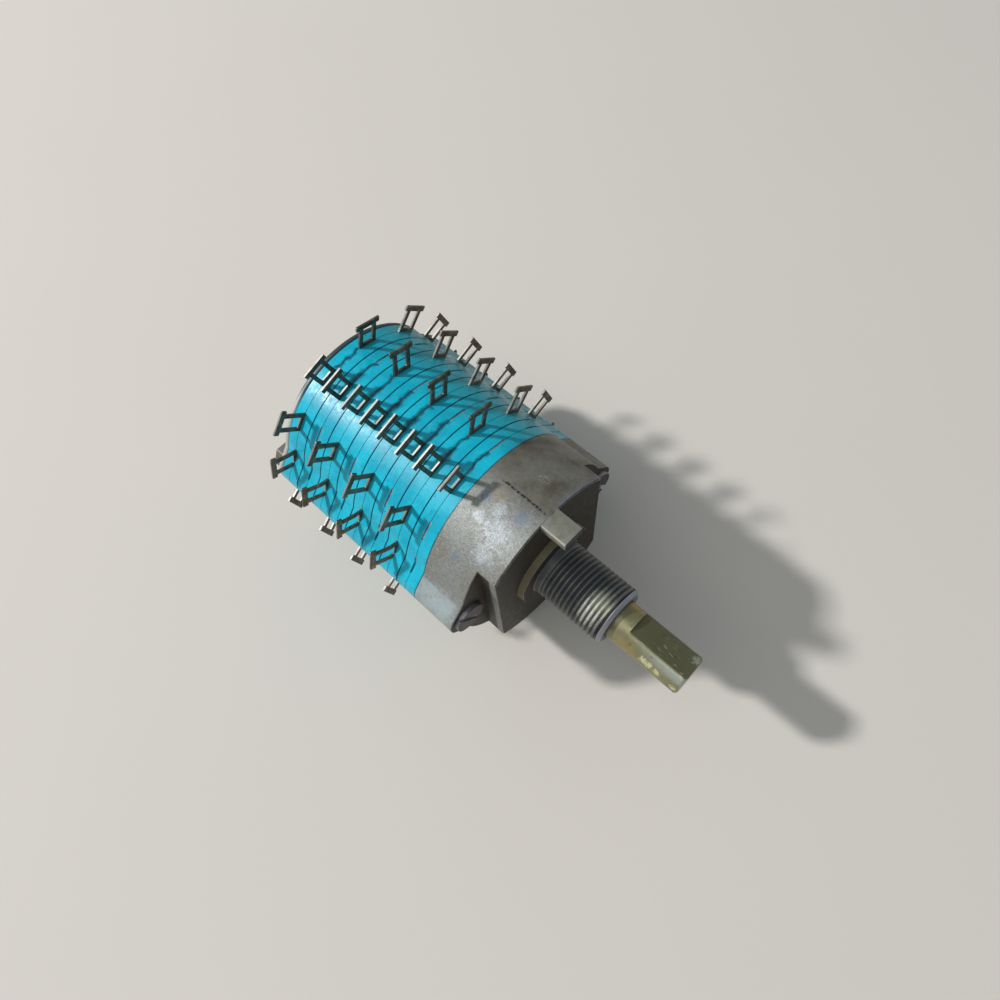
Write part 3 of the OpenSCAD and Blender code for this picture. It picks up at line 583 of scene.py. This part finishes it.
@cache
def cast_metal():
    """Weathered die cast metal with painted light and shade on its front, a seam along its top, pits and a
    dark rear joint
    """
    look = settings().casting
    made = Finish("cast_metal", metallic=0.45)
    wander = made.scaled(made.cloud(0.9), 0.5, -0.25)
    from_seam = maths(made.tree, "ABSOLUTE", maths(made.tree, "ADD", made.x, wander))
    seam = made.times(
        made.fade(from_seam, 0.1, 0.28), made.ramp(made.z, 12.0, 13.0), made.ramp(made.y, 1.2, 2.0),
        made.fade(made.y, 8.6, 10.4), made.patches(2.8, 0.42, 0.1))
    dark = made.highest(seam, made.times(made.patches(3.2, 0.7, 0.03, 2.0), 0.6))
    pocked = made.times(made.spot((3.9, 5.6, 15.0), 1.1, 0.6, 0.5), made.patches(4.0, 0.5, 0.06, 2.0))
    joint = made.ramp(made.y, HOUSING_HIGH.y - 0.16, HOUSING_HIGH.y - 0.1)
    made.colour(made.layered(
        with_painted_front_light_and_stains(made, weathered_with_painted_light(made, look)),
        (pocked, 0.5, (0.38, 0.37, 0.32)),
        (joint, 0.9, (0.012, 0.022, 0.03)),
        (dark, 1.0, (0.025, 0.022, 0.02))))
    made.rough(1.3, 0.42, 0.66)
    hollows = made.times(made.highest(dark, pocked), -0.8)
    made.bump(made.scaled(made.cloud(5.0, 6.0), 0.7, hollows), look.skin / MM)
    return made.material


@cache
def bushing_metal():
    """Dark plating, darker in the thread's roots and rubbed on its crests, with a painted highlight as a
    pale ring at the mouth and painted shade on the mouth's end face and in the groove behind the ring
    """
    made = Finish("bushing_metal", metallic=0.65)
    radius = made.radius()
    crest = made.ramp(radius, BUSHING_R - 0.2, BUSHING_R - 0.02)
    root = made.fade(radius, BUSHING_R - 0.4, BUSHING_R - 0.22)
    rubbed = made.times(made.spot(*THREAD_RUB, 0.8, 0.4, 1.0), made.scaled(crest, 0.8, 0.2))
    from_shaded_groove = maths(made.tree, "ABSOLUTE", maths(made.tree, "SUBTRACT", made.y, THREAD_END_Y + 0.12))
    made.colour(made.layered(
        made.mix(made.patches(0.6, 0.4, 0.3), (0.115, 0.12, 0.125), (0.15, 0.145, 0.12)),
        (made.times(crest, made.patches(0.5, 0.4, 0.3)), 0.4, (0.20, 0.205, 0.20)),
        (root, 0.5, (0.024, 0.025, 0.026)),
        (rubbed, 0.85, (0.66, 0.65, 0.58)),
        (made.spot((-1.3, MOUTH_Y + 0.6, 4.6), 2.4, 0.9, 0.4, 1.2), 0.6, (0.32, 0.32, 0.22)),
        (made.spot((-1.2, -9.6, 4.6), 2.5, 0.9, 0.35, 1.2), 0.85, (0.36, 0.37, 0.29)),
        # Painted highlight: a pale ring over the mouth's chamfer; painted shade on the mouth's end face and
        # in the groove behind the ring
        (made.fade(made.y, THREAD_END_Y - 0.06, THREAD_END_Y), 0.85, (0.38, 0.39, 0.45)),
        (made.fade(made.y, MOUTH_Y + 0.01, MOUTH_Y + 0.04), 0.6, (0.10, 0.10, 0.11)),
        (made.fade(from_shaded_groove, 0.1, 0.17), 0.9, (0.012, 0.014, 0.02))))
    made.rough(1.6, 0.4, 0.58)
    made.bump(made.cloud(6.0, 5.0), 0.02)
    return made.material


@cache
def shaft_brass():
    """Worn plating on a brass shaft: olive, with yellow rubbed patches, a pale edge and scratches"""
    made = Finish("shaft_brass", metallic=0.7)
    outwards = vectors(made.tree, "DOT_PRODUCT", made.place, FLAT_OUT)
    side = vectors(made.tree, "DOT_PRODUCT", made.place, FLAT_SIDE)
    flat = made.times(
        made.ramp(outwards, FLAT_DISTANCE - 0.3, FLAT_DISTANCE - 0.05),
        made.fade(made.y, FLAT_START_Y - 0.1, FLAT_START_Y))
    pale_edge = made.times(
        made.ramp(side, -3.12, -2.75), made.fade(side, -2.08, -2.0), made.without(flat),
        made.fade(made.y, SHAFT_TIP_Y + 1.5, FLAT_START_Y))
    worn_tip = made.times(
        made.scaled(made.fade(made.y, -21.5, -18.0), 0.75, 0.2), made.patches(0.5, 0.45, 0.15))
    made.colour(made.layered(
        made.mix(made.patches(0.35, 0.4, 0.35), settings().metal.brass, (0.20, 0.19, 0.10)),
        (flat, 0.7, (0.115, 0.11, 0.06)),
        (pale_edge, 0.75, (0.50, 0.53, 0.46)),
        (made.spot((2.2, -13.4, 2.3), 2.2, 0.8, 0.4), 0.55, (0.40, 0.27, 0.09)),
        (made.spot((-3.1, -15.5, 0.4), 3.2, 0.9, 0.5), 0.55, (0.40, 0.30, 0.13)),
        *((made.spot(*mark, 0.6, 0.75, 2.2), 0.85, (0.74, 0.71, 0.44)) for mark in SHAFT_RUBS),
        (made.spot((1.9, -24.2, 2.0), 0.9, 0.9, 0.9, 2.4), 0.6, (0.50, 0.55, 0.44)),
        (made.times(made.lines((1.0, 0.2, 1.0), 3.4, 0.61), worn_tip), 0.8, (0.58, 0.60, 0.46)),
        (made.patches(0.9, 0.62, 0.08), 0.5, (0.07, 0.06, 0.035))))
    made.rough(1.1, 0.3, 0.5)
    made.bump(made.cloud(3.0, 5.0), 0.02)
    return made.material


@cache
def teal_moulding():
    """Satin teal moulding with dirt in its joints, a ragged gap by the top left row and painted shade on
    its right side
    """
    look = settings().moulding
    made = Finish("teal_moulding", metallic=0.0, specular=0.32)
    turn = made.clock()
    wander = made.scaled(made.cloud(0.42, 5.0), 2.6, -1.3)
    bent = vectors(made.tree, "ADD", made.place, node(
        made.tree, "ShaderNodeCombineXYZ", {"Y": wander}).outputs[0])
    middle = WAFER_LOW.y + WAFER_T / 2
    ragged = made.times(
        made.joints(middle, 0.7, 0.5, bent), made.ramp(turn, -13.5, -9.5), made.fade(turn, 6.5, 8.0))
    dirt = made.highest(
        ragged,
        made.times(made.joints(middle, 0.1, 1.2), 0.6),
        made.times(made.patches(2.6, 0.68, 0.03, 2.0), 0.7),
        made.times(made.joints(WAFER_LOW.y, 0.15, 0.6), 0.8))
    made.colour(made.layered(
        made.mix(made.patches(0.2, 0.38, 0.25), look.colour, look.deep),
        # Painted shade: the moulding turns darker and greener towards the right, the side away from the key
        # lamp
        (made.ramp(made.scaled(made.cloud(0.3), 6.0, made.x), 4.0, 13.0), 0.75, (0.01, 0.27, 0.31)),
        (made.patches(0.6, 0.5, 0.2), 0.3, (0.06, 0.52, 0.62)),
        (made.joints(WAFER_LOW.y, 0.2, 0.9), 0.6, (0.01, 0.36, 0.44)),
        (dirt, 1.0, look.grime)))
    made.rough(1.4, 0.1, 0.6)
    made.bump(maths(made.tree, "SUBTRACT", made.cloud(5.0, 4.0), made.times(ragged, 6.0)), 0.012)
    return made.material


@cache
def tinned_terminal():
    """Tarnished plating of the terminals"""
    made = Finish("tinned_terminal", metallic=0.7)
    made.colour(made.layered(
        made.mix(made.patches(0.9, 0.4, 0.3), settings().metal.tarnish, (0.06, 0.05, 0.035)),
        (made.patches(0.6, 0.55, 0.1), 0.5, (0.33, 0.30, 0.25))))
    made.rough(1.5, 0.32, 0.55)
    made.bump(made.cloud(5.0, 4.0), 0.015)
    return made.material


@cache
def screw_steel():
    """Steel screws, with painted shade on the front faces of their heads"""
    made = Finish("screw_steel", metallic=0.7)
    made.colour(made.layered(
        made.mix(made.patches(0.6, 0.4, 0.3), (0.42, 0.41, 0.44), (0.24, 0.23, 0.24)),
        # Painted shade: the heads' front faces, deep in the pockets, are painted dark brown
        (made.fade(made.y, SCREW_FRONT_Y + 0.02, SCREW_FRONT_Y + 0.1), 0.9, (0.03, 0.024, 0.02))))
    made.rough(1.6, 0.35, 0.55)
    return made.material


@cache
def plate_steel():
    """Zinc plated end plate with a painted highlight on its rim at the left and painted shade on the rest
    of its rim
    """
    made = Finish("plate_steel", metallic=0.6)
    rim = made.ramp(made.radius(), BODY_R - 0.35, BODY_R - 0.2)
    made.colour(made.layered(
        made.mix(made.patches(1.3, 0.35, 0.5), (0.38, 0.37, 0.35), (0.30, 0.29, 0.27)),
        (made.patches(0.16, 0.45, 0.3), 0.3, (0.20, 0.18, 0.15)),
        # Painted highlight: the rim is painted pale; painted shade darkens it on most of its way round,
        # leaving it pale only on the left, where the key lamp catches it
        (rim, 0.8, (0.62, 0.62, 0.60)),
        (made.times(rim, made.ramp(made.x, -11.0, -7.5)), 0.9, (0.012, 0.05, 0.06))))
    made.rough(1.4, 0.38, 0.58)
    made.bump(made.cloud(6.0, 4.0), 0.01)
    return made.material


def mottled(name, metallic, patches, light, dark, rough, grain=0.0):
    """A material in two colours that run into each other, with the inputs of its patches and roughness"""
    made = Finish(name, metallic)
    made.colour(made.mix(made.patches(*patches), light, dark))
    made.rough(*rough)
    if grain:
        made.bump(made.cloud(6.0, 4.0), grain)
    return made.material


@cache
def rubbed_casting():
    """Metal worn bright along the casting's edges"""
    return mottled(
        "rubbed_casting", 0.5, (0.8, 0.4, 0.3), (0.33, 0.33, 0.31), (0.12, 0.11, 0.10), (1.8, 0.35, 0.6))


@cache
def lamp_side_highlight():
    """Painted highlight: bright faces and edges of the terminals on the side that faces the key lamp"""
    bright = settings().metal.bright
    return mottled("lamp_side_highlight", 0.75, (0.8, 0.45, 0.25), bright, (0.24, 0.21, 0.175), (1.8, 0.3, 0.5))


@cache
def cut_lead_lightened():
    """Brown ends of the cropped leads, painted lighter as painted light against the shade in their slits"""
    return mottled(
        "cut_lead_lightened", 0.5, (1.3, 0.4, 0.3), (0.62, 0.46, 0.43), (0.28, 0.22, 0.20), (1.5, 0.4, 0.6))


@cache
def dark_moulding():
    """Matt dark moulding of the rotors"""
    return mottled(
        "dark_moulding", 0.0, (0.8, 0.4, 0.3), (0.03, 0.03, 0.032), (0.05, 0.048, 0.045), (1.2, 0.45, 0.65),
        grain=0.015)


def plain_metal(name, light, dark, metallic=0.85, low=0.28, high=0.48):
    """A metal with a wandering tint and fine scratches, its roughness between low and high"""
    made = Finish(name, metallic)
    made.colour(made.layered(
        made.mix(made.patches(0.5, 0.4, 0.3), light, dark),
        (made.lines((0.15, 1.0, 1.0), 3.0, 0.62), 0.3, light)))
    made.rough(1.4, low, high)
    made.bump(made.cloud(6.0, 4.0), 0.01)
    return made.material


@cache
def bright_steel():
    """Steel balls, springs and pins"""
    return plain_metal("bright_steel", (0.50, 0.48, 0.50), (0.26, 0.24, 0.25))


@cache
def plated_steel():
    """Dull zinc plated steel"""
    return plain_metal("plated_steel", (0.20, 0.19, 0.17), (0.15, 0.14, 0.12), 0.7, 0.42, 0.62)


@cache
def contact_bronze():
    """Clean spring bronze"""
    return plain_metal("contact_bronze", (0.66, 0.42, 0.22), (0.45, 0.27, 0.14))


# Meshes

def welded(node_name, whole, joined):
    """A bmesh copy of a CAD node with near corners joined and, if asked for, its flat faces made whole"""
    work = bmesh.new()
    work.from_mesh(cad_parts[node_name].data)
    bmesh.ops.remove_doubles(work, verts=work.verts, dist=joined)
    if whole:
        bmesh.ops.dissolve_limit(work, angle_limit=FLAT_ANGLE, verts=work.verts, edges=work.edges)
    return work


def clean_mesh(work, name):
    """A mesh made from a bmesh, without the CAD node's own normals"""
    work.verts.index_update()
    mesh = bpy.data.meshes.new(name)
    mesh.from_pydata([v.co for v in work.verts], [], [[v.index for v in f.verts] for f in work.faces])
    work.free()
    return mesh


def add_piece(mesh, *materials):
    """Links a mesh as an object at the origin with its materials"""
    piece = bpy.data.objects.new(mesh.name, mesh)
    bpy.context.scene.collection.objects.link(piece)
    for material in materials:
        mesh.materials.append(material)
    return piece


def settle(piece):
    """Makes a piece's live modifiers part of its mesh, which is shaded smooth"""
    graph = bpy.context.evaluated_depsgraph_get()
    mesh = bpy.data.meshes.new_from_object(piece.evaluated_get(graph), depsgraph=graph)
    mesh.name = piece.name
    mesh.shade_smooth()
    piece.modifiers.clear()
    piece.data = mesh


def join_corners(mesh):
    """Joins the corners that narrow rounding has left on top of each other"""
    work = bmesh.new()
    work.from_mesh(mesh)
    bmesh.ops.remove_doubles(work, verts=work.verts, dist=ROUNDED_JOINED)
    work.to_mesh(mesh)
    work.free()


def even_normals(mesh):
    """Shades each corner by the faces round it, weighed by area, but not across a sharp edge"""
    limit = math.cos(SHARP_ANGLE)
    around = [[] for _ in mesh.vertices]
    for polygon in mesh.polygons:
        for index in polygon.vertices:
            around[index].append((polygon.normal.copy(), polygon.area))
    normals = []
    for polygon in mesh.polygons:
        own = polygon.normal
        for index in polygon.vertices:
            near = (normal * area for normal, area in around[index] if normal.dot(own) > limit)
            normals.append(sum(near, Vector()).normalized())
    mesh.normals_split_custom_set(normals)


def softened(node_name, name, edge, *materials, whole=False, joined=JOINED, clamp=True):
    """A copy of a CAD node with narrow rounded edges, which take the second material if one is given"""
    piece = add_piece(clean_mesh(welded(node_name, whole, joined), name), *materials)
    bevel = piece.modifiers.new("Edges", "BEVEL")
    bevel.width = edge
    bevel.segments = 2
    bevel.limit_method = "ANGLE"
    bevel.angle_limit = ROUNDED_ANGLE
    bevel.use_clamp_overlap = clamp
    bevel.material = 1 if len(materials) > 1 else -1
    settle(piece)
    join_corners(piece.data)
    even_normals(piece.data)
    return piece


def repaint(piece, slot, chosen):
    """Gives a material slot to the faces that a test picks by their centre in millimetres and normal"""
    for polygon in piece.data.polygons:
        if chosen(polygon.center / MM, polygon.normal):
            polygon.material_index = slot


def hand_over(piece, body, slot, *nodes):
    """Fixes a finished piece to its body and hides the CAD nodes that it stands for; the slot is not used
    """
    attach(piece, body)
    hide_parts(*nodes)


def dress(node_name, material):
    """Gives a CAD node its material"""
    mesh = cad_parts[node_name].data
    mesh.materials.clear()
    mesh.materials.append(material)


def set_inputs(modifier, **values):
    """Sets a Geometry Nodes modifier's inputs by their sockets' identifiers"""
    sockets = {item.name: item.identifier for item in modifier.node_group.interface.items_tree
               if item.in_out == "INPUT"}
    for label, value in values.items():
        modifier[sockets[label.replace("_", " ")]] = value


def revolve(section, columns, name, step):
    """A closed mesh of revolution about the y axis from a closed section of (radius, y) points"""
    points = []
    for (r0, y0), (r1, y1) in zip(section, section[1:] + section[:1]):
        count = max(1, math.ceil(abs(y1 - y0) / step))
        points += [(r0 + (r1 - r0) * i / count, y0 + (y1 - y0) * i / count) for i in range(count)]
    work = bmesh.new()
    rings = [[work.verts.new((r * math.sin(turn), y, r * math.cos(turn))) for r, y in points]
             for turn in (2 * math.pi * i / columns for i in range(columns))]
    for here, there in zip(rings, rings[1:] + rings[:1]):
        for i in range(len(points)):
            j = (i + 1) % len(points)
            work.faces.new((here[i], here[j], there[j], there[i]))
    bmesh.ops.recalc_face_normals(work, faces=work.faces)
    return clean_mesh(work, name)


# Operators

class SWITCH_OT_housing(Operator):
    """Make the die cast housing with worn edges"""

    bl_idname = "switch.housing"
    bl_label = "Cast Housing"

    def execute(self, context):
        edge = settings().casting.edge
        piece = softened("housing", "cast_housing", edge, cast_metal(), rubbed_casting(), whole=True)
        repaint(piece, 0, self.in_hollow)
        hand_over(piece, FIXED, "cast_metal", "housing")
        return {"FINISHED"}

    @staticmethod
    def in_hollow(place, normal):
        """True at the corners inside the pockets and round the roots of the collar and the lug"""
        radius = math.hypot(place.x, place.z)
        deep = FACE_Y + 1.4 < place.y < POCKET_END_Y + 0.3
        in_pocket = abs(place.x) > POCKET_X - 0.2 and deep and radius < BODY_R - 0.2
        at_root = abs(place.y - FACE_Y) < 0.15 and radius < BODY_R - 0.5
        return in_pocket or at_root


class SWITCH_OT_bushing(Operator):
    """Turn the bushing and cut its thread"""

    bl_idname = "switch.bushing"
    bl_label = "Threaded Bushing"

    def execute(self, context):
        sizes = settings().thread
        mesh = revolve(self.section(), sizes.columns, "threaded_bushing", sizes.pitch / sizes.rows_per_turn)
        piece = add_piece(mesh, bushing_metal())
        cut = piece.modifiers.new("Thread", "NODES")
        cut.node_group = self.thread_tree()
        set_inputs(cut, Pitch=sizes.pitch, Depth=sizes.depth, Surface_Radius=BUSHING_R * MM,
                   Start=sizes.plain_neck, End=-THREAD_END_Y * MM)
        settle(piece)
        piece.data.set_sharp_from_angle(angle=SHARP_ANGLE)
        hand_over(piece, FIXED, "bushing_metal", "bushing")
        return {"FINISHED"}

    @staticmethod
    def section():
        """Section of the bushing: bore, flange, neck, thread and chamfered mouth"""
        rear = BUSHING_HIGH.y
        inwards, backwards = MOUTH_CHAMFER
        outline = [
            (BORE_R, rear), (BORE_R, MOUTH_Y + BORE_CHAMFER), (BORE_R + BORE_CHAMFER, MOUTH_Y),
            (BUSHING_R - inwards, MOUTH_Y), (BUSHING_R, MOUTH_Y + backwards),
            (BUSHING_R, -COLLAR_CHAMFER), (BUSHING_R + COLLAR_CHAMFER, 0.0),
            (NECK_R, 0.0), (NECK_R, CAVITY_Y), (BUSHING_FLANGE_R, CAVITY_Y), (BUSHING_FLANGE_R, rear)]
        return [(r * MM, y * MM) for r, y in outline]

    @staticmethod
    def thread_tree():
        """Geometry Nodes: cuts a helical thread into the outside of a tube about y"""
        tree, given, result = new_tree("Cut Thread", "GeometryNodeTree", {
            "Geometry": (SHAPE, None), "Pitch": (FLOAT, 0.001), "Depth": (FLOAT, 0.0005),
            "Surface Radius": (FLOAT, 0.005), "Start": (FLOAT, 0.0), "End": (FLOAT, 0.01),
            "Root Flat": (FLOAT, 0.04), "Crest Flat": (FLOAT, 0.32)}, {"Geometry": (SHAPE, None)})
        place = node(tree, "GeometryNodeInputPosition").outputs[0]
        axes = node(tree, "ShaderNodeSeparateXYZ", {0: place}).outputs
        along = times(tree, axes["Y"], -1.0)
        pitch = given.outputs["Pitch"]
        turn = maths(tree, "DIVIDE", maths(tree, "ARCTAN2", axes["X"], axes["Z"]), 2 * math.pi)
        phase = maths(tree, "FRACT", maths(tree, "SUBTRACT", maths(tree, "DIVIDE", along, pitch), turn))
        flank = times(tree, maths(tree, "ABSOLUTE", maths(tree, "SUBTRACT", phase, 0.5)), 2.0)
        crest = maths(tree, "SUBTRACT", 1.0, given.outputs["Crest Flat"])
        depth = fade(tree, flank, given.outputs["Root Flat"], crest)
        across = vectors(tree, "MULTIPLY", place, (1.0, 0.0, 1.0))
        surface = times(tree, given.outputs["Surface Radius"], THREAD_SURFACE)
        outside = maths(tree, "GREATER_THAN", vectors(tree, "LENGTH", across), surface)
        from_start = maths(tree, "SUBTRACT", along, given.outputs["Start"])
        to_end = maths(tree, "SUBTRACT", given.outputs["End"], along)
        lead_in = maths(tree, "DIVIDE", from_start, pitch, clamp=True)
        lead_out = maths(tree, "DIVIDE", to_end, times(tree, pitch, THREAD_RUN_OUT), clamp=True)
        inward = times(tree, given.outputs["Depth"], -1.0, depth, outside, lead_in, lead_out)
        offset = vectors(tree, "SCALE", vectors(tree, "NORMALIZE", across), scale=inward)
        moved = node(tree, "GeometryNodeSetPosition", {
            "Geometry": given.outputs["Geometry"], "Offset": offset}).outputs[0]
        solid = node(tree, "GeometryNodeRealizeInstances", {"Geometry": moved}).outputs[0]
        finished = node(tree, "GeometryNodeSetMaterial", {
            "Geometry": solid, "Material": bushing_metal()}).outputs[0]
        tree.links.new(finished, result.inputs["Geometry"])
        return tree


class SWITCH_OT_shaft(Operator):
    """Soften the shaft's edges and give it its worn finish"""

    bl_idname = "switch.shaft"
    bl_label = "Shaft"

    def execute(self, context):
        piece = softened("shaft", "flatted_shaft", SHAFT_EDGE, shaft_brass())
        hand_over(piece, TURNING, "shaft_brass", "shaft")
        return {"FINISHED"}


class SWITCH_OT_wafers(Operator):
    """Make the eight teal wafers with soft edges"""

    bl_idname = "switch.wafers"
    bl_label = "Wafers"

    def execute(self, context):
        for name in WAFERS:
            piece = softened(name, f"moulded_{name}", settings().moulding.edge, teal_moulding(), whole=True)
            hand_over(piece, FIXED, "teal_moulding", name)
        return {"FINISHED"}


class SWITCH_OT_terminals(Operator):
    """Make the solder terminals with a painted highlight on the faces that turn to the key lamp, and the
    cropped leads
    """

    bl_idname = "switch.terminals"
    bl_label = "Terminals"

    def execute(self, context):
        edge = settings().metal.edge
        for name in TERMINALS:
            piece = softened(name, f"stamped_{name}", edge, tinned_terminal(), whole=True,
                             joined=BENDS_JOINED, clamp=False)
            piece.data.materials.append(lamp_side_highlight())
            # Painted highlight: the faces that turn to the key lamp take the bright material
            repaint(piece, 1, lambda place, normal: normal.dot(LAMP_SIDE) > LAMP_SIDE_COSINE)
            hand_over(piece, FIXED, "tinned_terminal", name)
        for name in CROPPED:
            piece = softened(name, f"stamped_{name}", edge, cut_lead_lightened())
            hand_over(piece, FIXED, "tinned_terminal", name)
        return {"FINISHED"}


class SWITCH_OT_fasteners(Operator):
    """Make the end plate and the fasteners that hold the stack"""

    bl_idname = "switch.fasteners"
    bl_label = "Plate and Fasteners"

    def execute(self, context):
        finishes = {"end_plate": plate_steel, "tie_screws": screw_steel, "lock_washers": plated_steel,
                    "tie_nuts": plated_steel}
        for name, finish in finishes.items():
            plate = name == "end_plate"
            edge = PLATE_EDGE if plate else FASTENER_EDGE
            piece = softened(name, f"finished_{name}", edge, finish(), whole=plate)
            hand_over(piece, FIXED, "plated_steel", name)
        return {"FINISHED"}


class SWITCH_OT_mechanism(Operator):
    """Dress the pieces inside the housing and the decks"""

    bl_idname = "switch.mechanism"
    bl_label = "Inner Mechanism"

    def execute(self, context):
        finishes = {
            "thrust_washer": contact_bronze, "detent_rotor": dark_moulding, "detent_springs": bright_steel,
            "detent_balls": bright_steel, "detent_cover": plated_steel, "stop_pin": bright_steel}
        for deck in DECKS:
            finishes[f"rotor_{deck}"] = dark_moulding
            finishes[f"wiper_{deck}"] = contact_bronze
        for name, finish in finishes.items():
            dress(name, finish())
        return {"FINISHED"}


class SWITCH_OT_stage(Operator):
    """Set up the pale floor, the soft lamps and the camera"""

    bl_idname = "switch.stage"
    bl_label = "Stage"

    def execute(self, context):
        look = settings().stage
        scene = context.scene
        scene.view_settings.view_transform = "Standard"
        self.floor(look)
        self.lamp("key_lamp", KEY_DIRECTION, KEY_DISTANCE, look.key_size, look.key_power)
        self.lamp("sky_lamp", SKY_DIRECTION, SKY_DISTANCE, SKY_SIZE, SKY_POWER)
        world = bpy.data.worlds.new("studio")
        world.use_nodes = True
        sky = world.node_tree.nodes["Background"]
        sky.inputs["Color"].default_value = FILL_COLOUR
        sky.inputs["Strength"].default_value = look.fill
        scene.world = world
        camera = bpy.data.objects.new("camera", bpy.data.cameras.new("camera"))
        scene.collection.objects.link(camera)
        camera.location = CAMERA_PLACE
        camera.rotation_euler = [math.radians(angle) for angle in CAMERA_TURN]
        camera.data.lens = look.lens
        camera.data.clip_start = 1 * MM
        scene.camera = camera
        return {"FINISHED"}

    @staticmethod
    def floor(look):
        """Large pale floor under the lowest terminals"""
        mesh = bpy.data.meshes.new("floor")
        corners = ((-1, -1), (1, -1), (1, 1), (-1, 1))
        places = [(x * FLOOR_HALF, y * FLOOR_HALF, CAD_BOX[0].z) for x, y in corners]
        mesh.from_pydata(places, [], [range(4)])
        made = Finish("pale_floor", metallic=0.0, specular=0.1)
        made.shader.inputs["Roughness"].default_value = 0.95
        made.colour(made.layered(look.floor, (made.cloud(0.02, 3.0), 0.25, (0.60, 0.56, 0.50))))
        add_piece(mesh, made.material)

    @staticmethod
    def lamp(name, direction, distance, size, power):
        """A square lamp that looks at the middle of the switch"""
        data = bpy.data.lights.new(name, "AREA")
        data.size = size
        data.energy = power
        lamp = bpy.data.objects.new(name, data)
        bpy.context.scene.collection.objects.link(lamp)
        towards = Vector(direction).normalized()
        lamp.location = (CAD_BOX[0] + CAD_BOX[1]) / 2 + towards * distance
        lamp.rotation_euler = towards.to_track_quat("Z", "Y").to_euler()


class SWITCH_PT_sidebar(Panel):
    """Lists the steps and the settings"""

    bl_idname = "SWITCH_PT_sidebar"
    bl_label = "Rotary Switch"
    bl_space_type = "VIEW_3D"
    bl_region_type = "UI"
    bl_category = "Rotary Switch"

    def draw(self, context):
        for step in STEPS:
            self.layout.operator(step.bl_idname)
        for group in ("casting", "thread", "moulding", "metal", "stage"):
            box = self.layout.box()
            values = getattr(settings(), group)
            for name in values.__annotations__:
                box.prop(values, name)


STEPS = (SWITCH_OT_housing, SWITCH_OT_bushing, SWITCH_OT_shaft, SWITCH_OT_wafers, SWITCH_OT_terminals,
         SWITCH_OT_fasteners, SWITCH_OT_mechanism, SWITCH_OT_stage)
GROUPS = (CastingLook, ThreadSizes, MouldingLook, MetalLook, StageSettings, SwitchSettings)


def register():
    for cls in (*GROUPS, *STEPS, SWITCH_PT_sidebar):
        bpy.utils.register_class(cls)
    bpy.types.Scene.rotary_switch = PointerProperty(type=SwitchSettings)


def unregister():
    del bpy.types.Scene.rotary_switch
    for cls in reversed((*GROUPS, *STEPS, SWITCH_PT_sidebar)):
        bpy.utils.unregister_class(cls)


def main():
    """Registers the add-on and runs its steps in order"""
    register()
    bpy.ops.switch.housing()
    bpy.ops.switch.bushing()
    bpy.ops.switch.shaft()
    bpy.ops.switch.wafers()
    bpy.ops.switch.terminals()
    bpy.ops.switch.fasteners()
    bpy.ops.switch.mechanism()
    bpy.ops.switch.stage()


if __name__ == "__main__":
    main()
